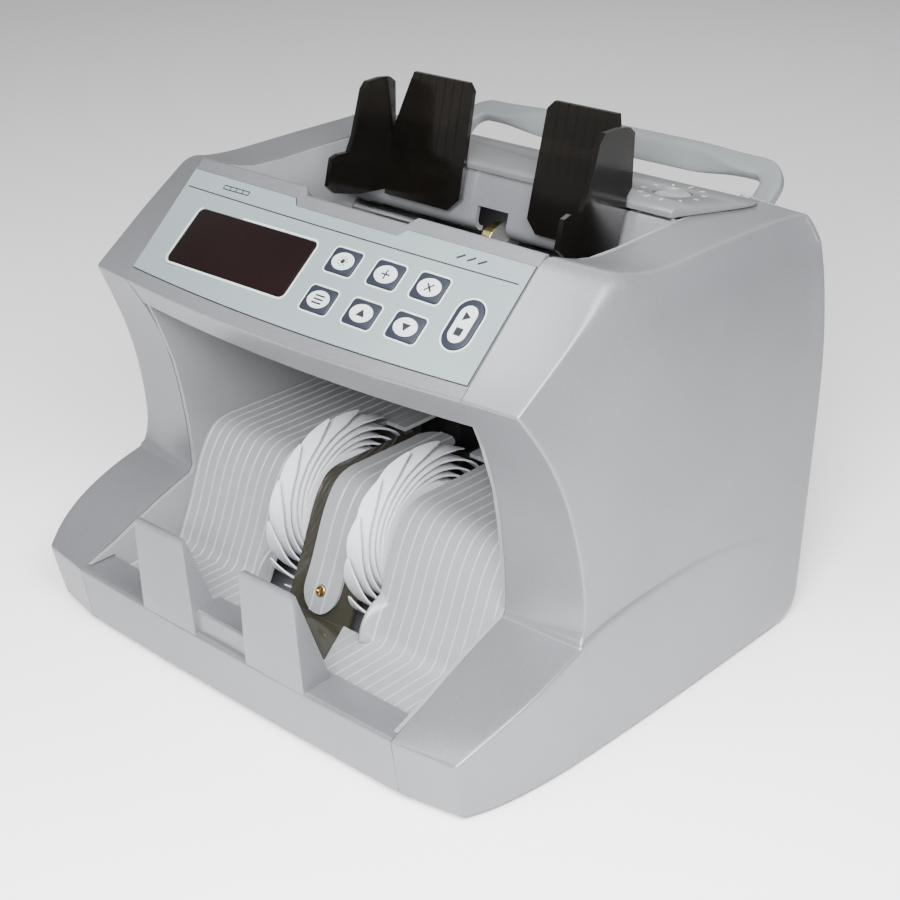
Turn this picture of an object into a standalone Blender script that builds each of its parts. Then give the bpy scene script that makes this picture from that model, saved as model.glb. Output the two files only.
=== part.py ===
"""Banknote counting machine: every sub-part as its own solid, in metres, standing on z = 0.

Working coordinates are millimetres in the machine's own frame: x from the centre plane to the right, y from the
front edge of the base towards the rear, z from the lower edge of the base upwards.
"""

import math

import bmesh
import bpy
from mathutils import Matrix, Vector

MM = 0.001
DEPTH_CENTRE = 126.32      # y of the middle of the whole machine
FOOT_DROP = 3.0            # how far the feet stand below the base edge
GAP = 0.3                  # clearance between neighbouring parts

# Housing
SEAM_X = 98.5              # seam between a side cover and the middle parts
SHELL = 2.4                # moulding wall
REAR_Y = 215.5
BASE_Z = 28.0              # height of the front ledge
WALL_X = 96.0              # inner faces of the two inner walls
WALL = 2.0

# Control panel
PANEL_LOW = (30.2, 157.5)
PANEL_TOP = (78.7, 201.7)
PANEL_BOW = 6.5            # how far the lower edge bows forward at the centre
NOTCH_HALF = 29.5
NOTCH_RUN = 3.0
NOTCH_DEPTH = 3.8
OVERLAY = (0.10, 0.905)    # lower and upper edge of the membrane, as shares of the slope
OVERLAY_T = 0.5
KEY_SIZE = (14.7, 11.4)
KEY_COLUMNS = (12.7, 36.2, 58.9)
KEY_ROWS = (0.597, 0.326)
START_KEY = (82.3, 0.440, 12.6, 22.0)
WINDOW = (-42.2, 0.457, 74.6, 28.0)

# Stacker
FLOOR_Z = 20.5
PLATE_IN_X = 32.5
PLATE_OUT_X = 95.6
PLATE_T = 2.2
RIB_PITCH = 5.65
RIB_FIRST = 37.2
RIB_COUNT = 11
BAND_HALF = 10.4
BAND_T = 1.6
GUARD_HALF = 19.2
GUARD_T = 1.6
EAR_RADIUS = 17.6
EAR_AT = (56.0, 21.2)      # centre of the ear's round edge
SCREW_AT = (0.0, 48.2, 29.0)
SCREW_R = 2.6
SCREW_HOLE_R = 2.9

# Impellers
WHEEL_AXIS = (85.9, 49.0)
WHEEL_X = 24.4
WHEEL_TIP_R = 45.6
WHEEL_HUB_R = 28.3
WHEEL_HALF = 4.2
BLADES = 15
BLADE_SWEEP = 118.0
BLADE_T = 0.9
BLADE_PHASE = 48.5
SHAFT_R = 4.0

# Note feed
FEED_AXIS = (173.5, 157.5)
FEED_R = 12.5
TRANSPORT_AXIS = (124.0, 112.0)
TRANSPORT_R = 12.0
MOTOR_AXIS = (186.0, 62.0)

# Hopper
HOPPER_TOP = (168.6, 196.2)
HOPPER_LOW = (161.9, 173.0)
HOPPER_ROLL = 5.5          # radius of the rounded lower edge
SLOT_Z = 192.2             # sill of the two slots that the note guides slide along
SLOTS = ((-92.0, -43.0), (41.0, 94.0))
COVER_LOW = 193.9
DIAL_AT = (78.0, 191.3)
DIAL_R = 8.6

# Handle
HANDLE_PIVOT = (208.4, 155.8)
INLET = (-58.0, 40.0)
SWITCH = (-28.0, 40.0)
ROCKER_Y = 214.5
ROCKER_TILT = 12.0


def pt(x, y, z):
    """Machine millimetres to metres in the part's frame."""
    return Vector((x * MM, (y - DEPTH_CENTRE) * MM, (z + FOOT_DROP) * MM))


def clear_scene():
    for obj in list(bpy.data.objects):
        bpy.data.objects.remove(obj, do_unlink=True)


def collection(name, hidden=False):
    made = bpy.data.collections.new(name)
    bpy.context.scene.collection.children.link(made)
    made.hide_render = hidden
    return made


clear_scene()
PARTS = collection("banknote_counter")
CUTTERS = collection("cutters", hidden=True)


def material(name, colour, rough, metallic):
    mat = bpy.data.materials.new(name)
    mat.use_nodes = True
    shader = mat.node_tree.nodes["Principled BSDF"]
    shader.inputs["Base Color"].default_value = (*colour, 1.0)
    shader.inputs["Roughness"].default_value = rough
    shader.inputs["Metallic"].default_value = metallic
    return mat


LOOKS = {
    "housing": ((0.66, 0.66, 0.68), 0.42, 0.0),
    "grey_plastic": ((0.42, 0.44, 0.44), 0.45, 0.0),
    "white_plastic": ((0.78, 0.78, 0.80), 0.40, 0.0),
    "black_plastic": ((0.02, 0.02, 0.02), 0.55, 0.0),
    "overlay": ((0.70, 0.77, 0.74), 0.35, 0.0),
    "window": ((0.02, 0.015, 0.015), 0.10, 0.0),
    "key": ((0.10, 0.12, 0.18), 0.40, 0.0),
    "smoke": ((0.10, 0.08, 0.06), 0.12, 0.0),
    "brass": ((0.80, 0.58, 0.22), 0.25, 1.0),
    "steel": ((0.55, 0.55, 0.57), 0.30, 1.0),
    "rubber": ((0.03, 0.03, 0.03), 0.80, 0.0),
    "board": ((0.02, 0.22, 0.10), 0.50, 0.0),
}


def own_material(node, look):
    colour, rough, metallic = LOOKS[look]
    return material(f"{node}_{look}", colour, rough, metallic)


NO_ORIGIN = (0.0, 0.0, 0.0)


def close(bm):
    """Welds a closed surface and points its faces outwards."""
    bmesh.ops.remove_doubles(bm, verts=bm.verts, dist=1e-6)
    bmesh.ops.recalc_face_normals(bm, faces=bm.faces)
    if bm.calc_volume(signed=True) < 0:
        bmesh.ops.reverse_faces(bm, faces=bm.faces)


def object_from(name, bm, look=None, home=None, origin=NO_ORIGIN):
    """An object from a mesh in machine millimetres, with its own origin at a machine-millimetre point."""
    centre = pt(*origin) if origin != NO_ORIGIN else Vector(NO_ORIGIN)
    for vert in bm.verts:
        vert.co = pt(*vert.co) - centre
    close(bm)
    mesh = bpy.data.meshes.new(name)
    bm.to_mesh(mesh)
    bm.free()
    obj = bpy.data.objects.new(name, mesh)
    obj.location = centre
    (home or PARTS).objects.link(obj)
    if look:
        mesh.materials.append(own_material(name, look))
    return obj


def new_object(name, verts, faces, look, origin=NO_ORIGIN, home=None):
    """An object from computed machine-millimetre vertices, for lofted shapes."""
    mesh = bpy.data.meshes.new(name)
    mesh.from_pydata(verts, [], faces)
    bm = bmesh.new()
    bm.from_mesh(mesh)
    bpy.data.meshes.remove(mesh)
    return object_from(name, bm, look, home, origin)


def bake(obj):
    """Fixes the modifiers of an object into its mesh."""
    bpy.context.view_layer.update()
    graph = bpy.context.evaluated_depsgraph_get()
    mesh = bpy.data.meshes.new_from_object(obj.evaluated_get(graph))
    obj.modifiers.clear()
    obj.data = mesh
    return obj


def combine(obj, other, operation, folded=False):
    """Boolean of two solids, keeping the first and removing the second."""
    mod = obj.modifiers.new(operation.lower(), "BOOLEAN")
    mod.operation = operation
    mod.solver = "EXACT"
    mod.use_self = folded
    mod.object = other
    bake(obj)
    bpy.data.objects.remove(other, do_unlink=True)
    return obj


def cut(obj, *tools):
    for tool in tools:
        combine(obj, tool, "DIFFERENCE")
    return obj


def join(obj, *others):
    for other in others:
        combine(obj, other, "UNION")
    return obj


def bevel(obj, width, segments=1, angle=40.0):
    mod = obj.modifiers.new("edge", "BEVEL")
    mod.width = width * MM
    mod.segments = segments
    mod.limit_method = "ANGLE"
    mod.angle_limit = math.radians(angle)
    mod.use_clamp_overlap = True
    return bake(obj)


# Frames whose local z runs along an axis: outlines are (y, z) for x, (x, z) for y and (x, y) for z
ALONG = {
    "x": Matrix(((0, 0, 1, 0), (1, 0, 0, 0), (0, 1, 0, 0), (0, 0, 0, 1))),
    "y": Matrix(((1, 0, 0, 0), (0, 0, 1, 0), (0, 1, 0, 0), (0, 0, 0, 1))),
    "z": Matrix.Identity(4),
}


def box(name, x, y, z, look=None, home=None, origin=NO_ORIGIN):
    """A box from its (low, high) limits on each axis."""
    limits = (x, y, z)
    middle = Vector([(low + high) / 2 for low, high in limits])
    size = [high - low for low, high in limits]
    bm = bmesh.new()
    bmesh.ops.create_cube(bm, size=1.0, matrix=Matrix.Translation(middle) @ Matrix.Diagonal((*size, 1.0)))
    return object_from(name, bm, look, home, origin)


def plate(name, loops, place, low, high, look=None, home=None, origin=NO_ORIGIN):
    """A flat shape with one or more closed outlines, filled and extruded along the local z of a frame."""
    curve = bpy.data.curves.new(name, "CURVE")
    curve.dimensions = "2D"
    curve.fill_mode = "BOTH"
    curve.extrude = (high - low) / 2
    for loop in loops:
        spline = curve.splines.new("POLY")
        spline.points.add(len(loop) - 1)
        for point, (a, b) in zip(spline.points, loop):
            point.co = (a, b, 0.0, 1.0)
        spline.use_cyclic_u = True
    holder = bpy.data.objects.new(name, curve)
    CUTTERS.objects.link(holder)
    graph = bpy.context.evaluated_depsgraph_get()
    mesh = bpy.data.meshes.new_from_object(holder.evaluated_get(graph))
    bpy.data.objects.remove(holder, do_unlink=True)
    bpy.data.curves.remove(curve)
    bm = bmesh.new()
    bm.from_mesh(mesh)
    bpy.data.meshes.remove(mesh)
    bm.transform(place @ Matrix.Translation((0.0, 0.0, (low + high) / 2)))
    return object_from(name, bm, look, home, origin)


def prism(name, outline, low, high, axis="x", look=None, home=None, origin=NO_ORIGIN):
    """An outline extruded along one axis."""
    return plate(name, [outline], ALONG[axis], low, high, look, home, origin)


def rod(name, radius, place, low, high, count=24, look=None, home=None, origin=NO_ORIGIN):
    """A cylinder along the local z of a frame."""
    bm = bmesh.new()
    bmesh.ops.create_cone(bm, cap_ends=True, segments=count, radius1=radius, radius2=radius, depth=high - low,
                          matrix=place @ Matrix.Translation((0.0, 0.0, (low + high) / 2)))
    return object_from(name, bm, look, home, origin)


def cylinder(name, radius, centre, low, high, axis="x", count=24, look=None, home=None, origin=NO_ORIGIN):
    """A cylinder along one axis, with its centre given as an outline point."""
    place = ALONG[axis] @ Matrix.Translation((*centre, 0.0))
    return rod(name, radius, place, low, high, count, look, home, origin)


def rounded(width, height, radius, count=3):
    """A rounded rectangle about the origin."""
    out = []
    for sx, sy, start in ((1, 1, 0), (-1, 1, 90), (-1, -1, 180), (1, -1, 270)):
        for i in range(count + 1):
            a = math.radians(start + 90.0 * i / count)
            out.append(
                (
                    sx * (width / 2 - radius) + radius * math.cos(a),
                    sy * (height / 2 - radius) + radius * math.sin(a),
                )
            )
    return out


def sample(points, count):
    """Points spread evenly by length along a smooth curve through the given ones."""
    pts = [Vector(p) for p in points]
    dense = []
    for i in range(len(pts) - 1):
        a, b = pts[i], pts[i + 1]
        before = pts[i - 1] if i > 0 else a * 2 - b
        after = pts[i + 2] if i + 2 < len(pts) else b * 2 - a
        for k in range(16):
            t = k / 16
            dense.append(
                0.5 * (2 * a + (b - before) * t + (2 * before - 5 * a + 4 * b - after) * t * t
                       + (3 * a - before - 3 * b + after) * t * t * t)
            )
    dense.append(pts[-1])
    run = [0.0]
    for a, b in zip(dense, dense[1:]):
        run.append(run[-1] + (b - a).length)
    out = []
    k = 0
    for i in range(count + 1):
        want = run[-1] * i / count
        while k < len(run) - 2 and run[k + 1] < want:
            k += 1
        span = run[k + 1] - run[k]
        t = (want - run[k]) / span if span else 0.0
        out.append(dense[k].lerp(dense[k + 1], t))
    return out


def offset_path(path, distance):
    """A (y, z) path moved sideways by a distance, to the right of its direction."""
    out = []
    for i, p in enumerate(path):
        a = Vector(path[max(i - 1, 0)])
        b = Vector(path[min(i + 1, len(path) - 1)])
        p = Vector(p)
        d1 = (p - a).normalized() if i > 0 else (b - p).normalized()
        d2 = (b - p).normalized() if i < len(path) - 1 else d1
        n1 = Vector((d1.y, -d1.x))
        n2 = Vector((d2.y, -d2.x))
        n = (n1 + n2).normalized()
        out.append(tuple(p + n * (distance / max(n.dot(n1), 0.5))))
    return out


def sheet(name, path, x_low, x_high, thickness, look, ribs=(), rib_height=0.45, rib_half=0.45, home=None):
    """A bent sheet following a (y, z) path across x, with fine raised ribs along it on its outer side."""
    stations = [(x_low, 0.0)]
    for x in ribs:
        stations += [(x - rib_half, 0.0), (x - rib_half / 3, rib_height), (x + rib_half / 3, rib_height),
                     (x + rib_half, 0.0)]
    stations.append((x_high, 0.0))
    raised = offset_path(path, -rib_height)
    under = offset_path(path, thickness)
    rows = len(path)
    verts = []
    for x, lift in stations:
        verts += [(x, *(raised[i] if lift else path[i])) for i in range(rows)]
    for x in (x_low, x_high):
        verts += [(x, *under[i]) for i in range(rows)]
    last = len(stations)
    faces = []
    for s in range(last - 1):
        for i in range(rows - 1):
            a = s * rows + i
            faces.append((a, a + 1, a + rows + 1, a + rows))
    low, high = last * rows, (last + 1) * rows
    top_high = (last - 1) * rows
    for i in range(rows - 1):
        faces.append((low + i + 1, low + i, high + i, high + i + 1))
        faces.append((i + 1, i, low + i, low + i + 1))
        faces.append((top_high + i, top_high + i + 1, high + i + 1, high + i))
    for i in (0, rows - 1):
        edge = [s * rows + i for s in range(last)]
        faces.append(tuple(edge + [high + i, low + i]))
    return new_object(name, verts, faces, look, home=home)


# ---------------------------------------------------------------- side covers

FACE_OUT = [(127.4, 0.0, 0.0), (127.7, -2.9, 13.0), (127.9, -5.6, 26.6)]
FACE_IN = [(SEAM_X, -5.8, 0.0), (SEAM_X, -7.9, 13.0), (SEAM_X, -9.9, 26.9)]
SHOULDER_OUT = [(127.9, -5.6, 26.6), (131.0, 0.9, 31.6), (134.6, 12.0, 37.7), (137.0, 24.3, 42.8),
                (138.2, 37.0, 47.1), (138.3, 47.5, 50.4), (137.9, 58.3, 53.2)]
SHOULDER_IN = [(SEAM_X, -9.9, 26.9), (SEAM_X, -1.6, 30.5), (SEAM_X, 10.1, 34.8), (SEAM_X, 21.6, 39.8),
               (SEAM_X, 33.5, 44.6), (SEAM_X, 46.3, 49.2), (SEAM_X, 56.6, 52.6)]
CREASE = [(137.9, 58.3, 53.2), (139.0, 75.7, 57.3), (140.3, 97.1, 59.7), (141.5, 119.8, 60.9),
          (142.4, 137.6, 60.5), (143.3, 156.5, 58.2), (144.1, 176.5, 54.0), (144.6, 191.1, 46.9),
          (145.1, 202.3, 37.5), (145.5, 215.5, 23.0)]
STEP = 1.3                 # how far the lower part of the side stands proud at the front of the crease
STEP_RISE = 2.2
WING_OUT = [(136.5, 61.6, 56.0), (135.8, 62.8, 64.7), (134.7, 61.3, 83.5), (133.1, 57.5, 102.6),
            (131.4, 51.9, 120.9), (128.6, 43.5, 139.5), (123.2, 33.2, 157.2)]
WING_IN = [(SEAM_X, 58.2, 55.2), (SEAM_X, 58.3, 63.5), (SEAM_X, 57.0, 80.0), (SEAM_X, 54.6, 96.7),
           (SEAM_X, 51.3, 112.8), (SEAM_X, 43.6, 134.4), (SEAM_X, 30.2, 157.5)]
PANEL_OUT = [(123.2, 33.2, 157.2), (124.1, 61.9, 176.8), (125.0, 90.6, 196.4)]
PANEL_IN = [(SEAM_X, *PANEL_LOW), (SEAM_X, 54.5, 179.6), (SEAM_X, *PANEL_TOP)]
BAND_OUT = [(125.0, 90.6, 196.4), (125.3, 99.8, 194.1), (126.1, 117.7, 192.2), (126.5, 144.6, 192.5),
            (127.1, 173.2, 192.8), (128.4, 200.0, 192.6), (131.0, 213.6, 192.2)]
BAND_IN = [(SEAM_X, *PANEL_TOP), (SEAM_X, 92.0, 196.5), (SEAM_X, 108.7, 192.6), (SEAM_X, 126.0, 192.2),
           (SEAM_X, 150.0, 193.0), (SEAM_X, 180.0, 193.4), (SEAM_X, 213.6, 193.4)]
REAR_OUT = [(131.0, 213.6, 192.2), (137.0, 215.0, 188.5), (140.2, 215.4, 182.0), (142.2, REAR_Y, 170.0),
            (144.8, REAR_Y, 150.0), (146.3, REAR_Y, 131.0), (146.4, REAR_Y, 100.0), (145.9, REAR_Y, 55.0),
            (145.5, REAR_Y, 25.0)]
REAR_IN = [(SEAM_X, 213.6, 193.4), (SEAM_X, REAR_Y, 190.0), (SEAM_X, REAR_Y, 25.0)]
HEEL_OUT = [(145.5, REAR_Y, 25.0), (145.3, 215.3, 8.0), (144.6, 212.6, 2.4), (143.6, 208.0, 0.0)]
HEEL_IN = [(SEAM_X, REAR_Y, 25.0), (SEAM_X, 215.3, 8.0), (SEAM_X, 212.6, 2.4), (SEAM_X, 208.0, 0.0)]
BASE_EDGE = [(127.4, 0.0, 0.0), (133.1, 15.3, 0.0), (138.0, 45.6, 0.0), (140.6, 89.8, 0.0),
             (142.2, 140.5, 0.0), (143.2, 185.0, 0.0), (143.6, 208.0, 0.0)]


def coons(bottom, top, left, right):
    """Grid of points that fills four boundary curves."""
    nu, nv = len(bottom) - 1, len(left) - 1
    grid = []
    for j in range(nv + 1):
        v = j / nv
        row = []
        for i in range(nu + 1):
            u = i / nu
            ruled = bottom[i] * (1 - v) + top[i] * v + left[j] * (1 - u) + right[j] * u
            corners = (bottom[0] * (1 - u) * (1 - v) + bottom[-1] * u * (1 - v)
                       + top[0] * (1 - u) * v + top[-1] * u * v)
            row.append(ruled - corners)
        grid.append(row)
    return grid


def add_grid(verts, faces, grid):
    base = len(verts)
    cols = len(grid[0])
    for row in grid:
        verts += [tuple(p) for p in row]
    for j in range(len(grid) - 1):
        for i in range(cols - 1):
            a = base + j * cols + i
            faces.append((a, a + 1, a + cols + 1, a + cols))


def strip(inner, outer, across=3):
    """Rows of points from an inner curve to an outer one."""
    return [[a.lerp(b, k / across) for a, b in zip(inner, outer)] for k in range(across + 1)]


def side_cover(name, side):
    """One moulded side: front face, shoulder, wing, panel side, top band, rear and the bulging flank."""
    n = {"face": 3, "shoulder": 9, "crease": 16, "wing": 12, "panel": 6, "band": 10, "rear": 12, "heel": 3}
    crease_low = sample(CREASE, n["crease"])
    crease_high = []
    for i, p in enumerate(crease_low):
        fade = 1 - i / n["crease"]
        crease_high.append(Vector((p.x - STEP * fade, p.y, p.z + STEP_RISE)))
    start = crease_high[0]
    wing_out = sample([tuple(start)] + WING_OUT, n["wing"])
    crease_high[0] = wing_out[0]
    rear_out = sample(REAR_OUT, n["rear"])
    rear_out[-1] = crease_high[-1]
    heel_out = sample([tuple(crease_low[-1])] + HEEL_OUT[1:], n["heel"])
    shoulder_out = sample(SHOULDER_OUT, n["shoulder"])
    face_out = sample(FACE_OUT, n["face"])
    panel_out = sample(PANEL_OUT, n["panel"])
    band_out = sample(BAND_OUT, n["band"])
    verts, faces = [], []
    low_top = shoulder_out + crease_low[1:]
    low_bottom = sample(BASE_EDGE, len(low_top) - 1)
    add_grid(verts, faces, coons(low_bottom, low_top, face_out, heel_out[::-1]))
    add_grid(verts, faces, [crease_low, crease_high])
    top = panel_out + band_out[1:]
    add_grid(verts, faces, coons(crease_high, top, wing_out, rear_out[::-1]))
    knee_in = Vector(SHOULDER_IN[-1])
    wing_in = sample([(SEAM_X, 57.6, 54.0)] + WING_IN, n["wing"])
    pairs = (
        (sample(FACE_IN, n["face"]), face_out),
        (sample(SHOULDER_IN, n["shoulder"]), shoulder_out),
        ([knee_in, wing_in[0]], [shoulder_out[-1], crease_high[0]]),
        (wing_in, wing_out),
        (sample(PANEL_IN, n["panel"]), panel_out),
        (sample(BAND_IN, n["band"]), band_out),
        (sample(REAR_IN, n["rear"]), rear_out),
        ([Vector(REAR_IN[-1]), Vector(HEEL_IN[0])], [crease_high[-1], crease_low[-1]]),
        (sample(HEEL_IN, n["heel"]), heel_out),
    )
    for inner, outer in pairs:
        add_grid(verts, faces, strip(inner, outer))
    verts = [(side * x, y, z) for x, y, z in verts]
    obj = new_object(name, verts, faces, "housing")
    weld = obj.modifiers.new("weld", "WELD")
    weld.merge_threshold = 0.00002
    bake(obj)
    bm = bmesh.new()
    bm.from_mesh(obj.data)
    bmesh.ops.dissolve_degenerate(bm, dist=1e-6, edges=bm.edges)
    bmesh.ops.recalc_face_normals(bm, faces=bm.faces)
    outward = sum(f.calc_area() * f.normal.x * side for f in bm.faces)
    if outward < 0:
        bmesh.ops.reverse_faces(bm, faces=bm.faces)
    bm.to_mesh(obj.data)
    bm.free()
    wall = obj.modifiers.new("wall", "SOLIDIFY")
    wall.thickness = SHELL * MM
    wall.offset = -1.0
    wall.use_even_offset = True
    wall.use_quality_normals = True
    bake(obj)
    inside = sorted((side * 60.0, side * (SEAM_X + 0.05)))
    combine(obj, box("trim_seam", inside, (-40, 260), (-20, 240), home=CUTTERS), "DIFFERENCE", True)
    combine(obj, box("trim_base", (-200, 200), (-40, 260), (-20, 0.0), home=CUTTERS), "DIFFERENCE", True)
    return obj


# ---------------------------------------------------------------- control console


def bow(x):
    return PANEL_BOW * (1 - (x / SEAM_X) ** 2)


def panel_point(x, v, lift=0.0):
    """A point of the sloping panel, v from its lower to its upper edge, lifted along the normal."""
    def at(px, pv):
        y0 = PANEL_LOW[0] - bow(px)
        return Vector((px, y0 + (PANEL_TOP[0] - y0) * pv, PANEL_LOW[1] + (PANEL_TOP[1] - PANEL_LOW[1]) * pv))
    p = at(x, v)
    du = at(x + 0.5, v) - at(x - 0.5, v)
    dv = at(x, v + 0.01) - at(x, v - 0.01)
    return p + du.cross(dv).normalized() * lift


def panel_frame(x, v):
    """Machine-frame matrix of a panel feature: local x across, y up the slope, z along the outward normal."""
    p = panel_point(x, v)
    up = (panel_point(x, v + 0.01) - panel_point(x, v - 0.01)).normalized()
    across = (panel_point(x + 0.5, v) - panel_point(x - 0.5, v)).normalized()
    normal = across.cross(up).normalized()
    across = up.cross(normal).normalized()
    return Matrix((
        (across.x, up.x, normal.x, p.x),
        (across.y, up.y, normal.y, p.y),
        (across.z, up.z, normal.z, p.z),
        (0.0, 0.0, 0.0, 1.0),
    ))


def panel_prism(name, outline, frame, low, high, look=None, home=None, origin=NO_ORIGIN):
    """An outline in a panel frame extruded along the panel's normal."""
    return plate(name, [outline], frame, low, high, look, home, origin)


def notch_drop(x):
    """How far the rim is lowered along the slope at the finger notch."""
    beyond = (abs(x) - NOTCH_HALF) / NOTCH_RUN
    return NOTCH_DEPTH * min(max(1 - beyond, 0.0), 1.0)


def notch_columns(half):
    edge = [NOTCH_HALF, NOTCH_HALF + NOTCH_RUN]
    xs = [half * i / 8 for i in range(9)]
    xs = [x for x in xs if all(abs(x - e) > 3.5 for e in edge)] + edge
    return sorted({-x for x in xs} | set(xs))


SLOPE_LENGTH = math.hypot(PANEL_TOP[0] - PANEL_LOW[0], PANEL_TOP[1] - PANEL_LOW[1])


def shell(name, rows, thickness, look):
    """A moulding from the grid of points on its outside."""
    verts, faces = [], []
    add_grid(verts, faces, rows)
    mesh = bpy.data.meshes.new(name)
    mesh.from_pydata([pt(*v) for v in verts], [], faces)
    mesh.materials.append(own_material(name, look))
    obj = bpy.data.objects.new(name, mesh)
    PARTS.objects.link(obj)
    wall = obj.modifiers.new("wall", "SOLIDIFY")
    wall.thickness = thickness * MM
    wall.offset = 1.0
    wall.use_even_offset = True
    bake(obj)
    bm = bmesh.new()
    bm.from_mesh(obj.data)
    close(bm)
    bm.to_mesh(obj.data)
    bm.free()
    return obj


def console_shell():
    rows = []
    for x in notch_columns(SEAM_X - GAP):
        y0 = PANEL_LOW[0] - bow(x)
        top = panel_point(x, 1.0 - notch_drop(x) / SLOPE_LENGTH)
        rows.append([
            (x, y0 + 11.0, 143.7),
            (x, y0 + 8.6, 143.7),
            (x, y0 + 4.2, 151.0),
            (x, y0, PANEL_LOW[1]),
            panel_point(x, 0.25),
            panel_point(x, 0.5),
            panel_point(x, 0.75),
            top,
            (x, top.y + 1.6, top.z - 0.6),
            (x, 81.4, min(top.z - 2.5, 197.5)),
            (x, 83.0, 182.0),
            (x, 84.5, 160.0),
        ])
    return shell("console_shell", rows, SHELL, "housing")


def overlay_sheet():
    rows = []
    for x in notch_columns(SEAM_X - GAP - 0.6):
        top = OVERLAY[1] - notch_drop(x) * 0.9 / SLOPE_LENGTH
        shares = [OVERLAY[0] + (top - OVERLAY[0]) * k / 4 for k in range(5)]
        rows.append([panel_point(x, v, GAP + OVERLAY_T) for v in shares])
    return shell("panel_overlay", rows, OVERLAY_T, "overlay")


KEYS = {
    "key_test": (KEY_COLUMNS[0], KEY_ROWS[0]),
    "key_add": (KEY_COLUMNS[1], KEY_ROWS[0]),
    "key_multi": (KEY_COLUMNS[2], KEY_ROWS[0]),
    "key_batch": (KEY_COLUMNS[0] + 0.5, KEY_ROWS[1]),
    "key_up": (KEY_COLUMNS[1] + 0.5, KEY_ROWS[1]),
    "key_down": (KEY_COLUMNS[2] + 0.5, KEY_ROWS[1]),
    "key_start": (START_KEY[0], START_KEY[1]),
}


def console():
    housing = console_shell()
    overlay = overlay_sheet()
    for name, (x, v) in KEYS.items():
        if name == "key_start":
            size, radius, count = START_KEY[2:], 6.2, 6
        else:
            size, radius, count = KEY_SIZE, 1.6, 3
        frame = panel_frame(x, v)
        opening = rounded(size[0] + 2 * GAP, size[1] + 2 * GAP, radius + GAP, count)
        for body in (housing, overlay):
            cut(body, panel_prism("key_hole", opening, frame, -6.0, 6.0, home=CUTTERS))
        cap = rounded(size[0], size[1], radius, count)
        panel_prism(name, cap, frame, -3.2, 1.3, "key", origin=tuple(frame.translation))
    x, v, width, height = WINDOW
    frame = panel_frame(x, v)
    for body in (housing, overlay):
        hole = rounded(width + 2 * GAP, height + 2 * GAP, 2.6 + GAP)
        cut(body, panel_prism("window_hole", hole, frame, -6.0, 6.0, home=CUTTERS))
    panel_prism("display_window", rounded(width, height, 2.6), frame, -2.6, 0.75, "window")
    middle = panel_frame(4.0, 0.45)
    board = panel_prism("display_board", rounded(176.0, 36.0, 1.0, 1), middle, -10.4, -8.8, "board")
    return housing, overlay, board


# ---------------------------------------------------------------- stacker


WALL_PATH = [(44.3, FLOOR_Z), (48.4, 29.2), (52.7, 38.2), (57.0, 49.1), (60.5, 58.0), (64.5, 65.8), (69.2, 72.0),
             (73.6, 74.9), (79.5, 76.2), (87.0, 76.2), (118.0, 76.0), (148.0, 76.0)]


def stacker_plate(name, side):
    path = [(8.2, FLOOR_Z), (26.0, FLOOR_Z)] + WALL_PATH
    ribs = [RIB_FIRST + RIB_PITCH * i for i in range(RIB_COUNT)]
    low, high = sorted((side * PLATE_IN_X, side * PLATE_OUT_X))
    made = sheet(name, path, low, high, PLATE_T, "grey_plastic", sorted(side * x for x in ribs))
    flap = [(PLATE_IN_X + 4, 9.0), (31.2, 9.0), (31.2, 19.8), (18.6, 43.6), (PLATE_IN_X + 4, 43.6)]
    flap = [(side * x, y) for x, y in flap]
    join(made, prism("flap", flap, FLOOR_Z - PLATE_T, FLOOR_Z - 0.01, "z", home=CUTTERS))
    tab = sorted((side * 20.4, side * (PLATE_IN_X + 1.0)))
    join(made, box("tab", tab, (125.5, 147.5), (73.85, 75.9), home=CUTTERS))
    arc = []
    for i in range(9):
        a = math.radians(180.0 - 88.0 * i / 8)
        arc.append((EAR_AT[0] + EAR_RADIUS * math.cos(a), EAR_AT[1] + EAR_RADIUS * math.sin(a)))
    foot = (45.2, FLOOR_Z - 1.0)
    crest = (54.2, 39.8)
    edge = [(side * x, *p) for x in (PLATE_IN_X + 0.2, PLATE_IN_X + 1.8) for p in arc + [foot, crest]]
    root = [(side * (PLATE_IN_X + 6.5), *foot), (side * (PLATE_IN_X + 6.5), 52.6, 36.0)]
    points = edge + root
    mesh = bpy.data.meshes.new("ear")
    bm = bmesh.new()
    for p in points:
        bm.verts.new(pt(*p))
    bmesh.ops.convex_hull(bm, input=bm.verts)
    bm.to_mesh(mesh)
    bm.free()
    ear = bpy.data.objects.new("ear", mesh)
    CUTTERS.objects.link(ear)
    return join(made, ear)


def stacker_lip():
    half = SEAM_X - GAP
    xs = [half * i / 6 for i in range(-6, 7)]
    verts = []
    for x in xs:
        swell = 1 - (x / SEAM_X) ** 2
        front = -9.9 - 1.6 * swell
        foot = -5.8 - 1.4 * swell
        outer = [(foot, 0.3), (front, 26.6), (front + 1.2, BASE_Z), (7.6, BASE_Z), (7.6, 18.0)]
        under = [(5.2, 18.0), (5.2, BASE_Z - SHELL), (front + 3.2, BASE_Z - SHELL), (foot + 2.5, 0.3)]
        verts += [(x, y, z) for y, z in outer + under]
    faces = []
    for s in range(len(xs) - 1):
        for i in range(9):
            a, b = s * 9 + i, s * 9 + (i + 1) % 9
            faces.append((a, b, b + 9, a + 9))
    last = (len(xs) - 1) * 9
    faces += [tuple(range(9)), tuple(last + i for i in range(8, -1, -1))]
    lip = new_object("stacker_lip", verts, faces, "housing")
    hump = [(-8.6, 27.0), (-8.6, 37.6), (-7.8, 38.4), (5.6, 38.0), (7.4, 30.0), (7.4, 27.0)]
    join(lip, prism("hump", hump, -18.0, 18.0, home=CUTTERS))
    for side in (-1, 1):
        join(lip, tooth(side))
    return lip


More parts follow.
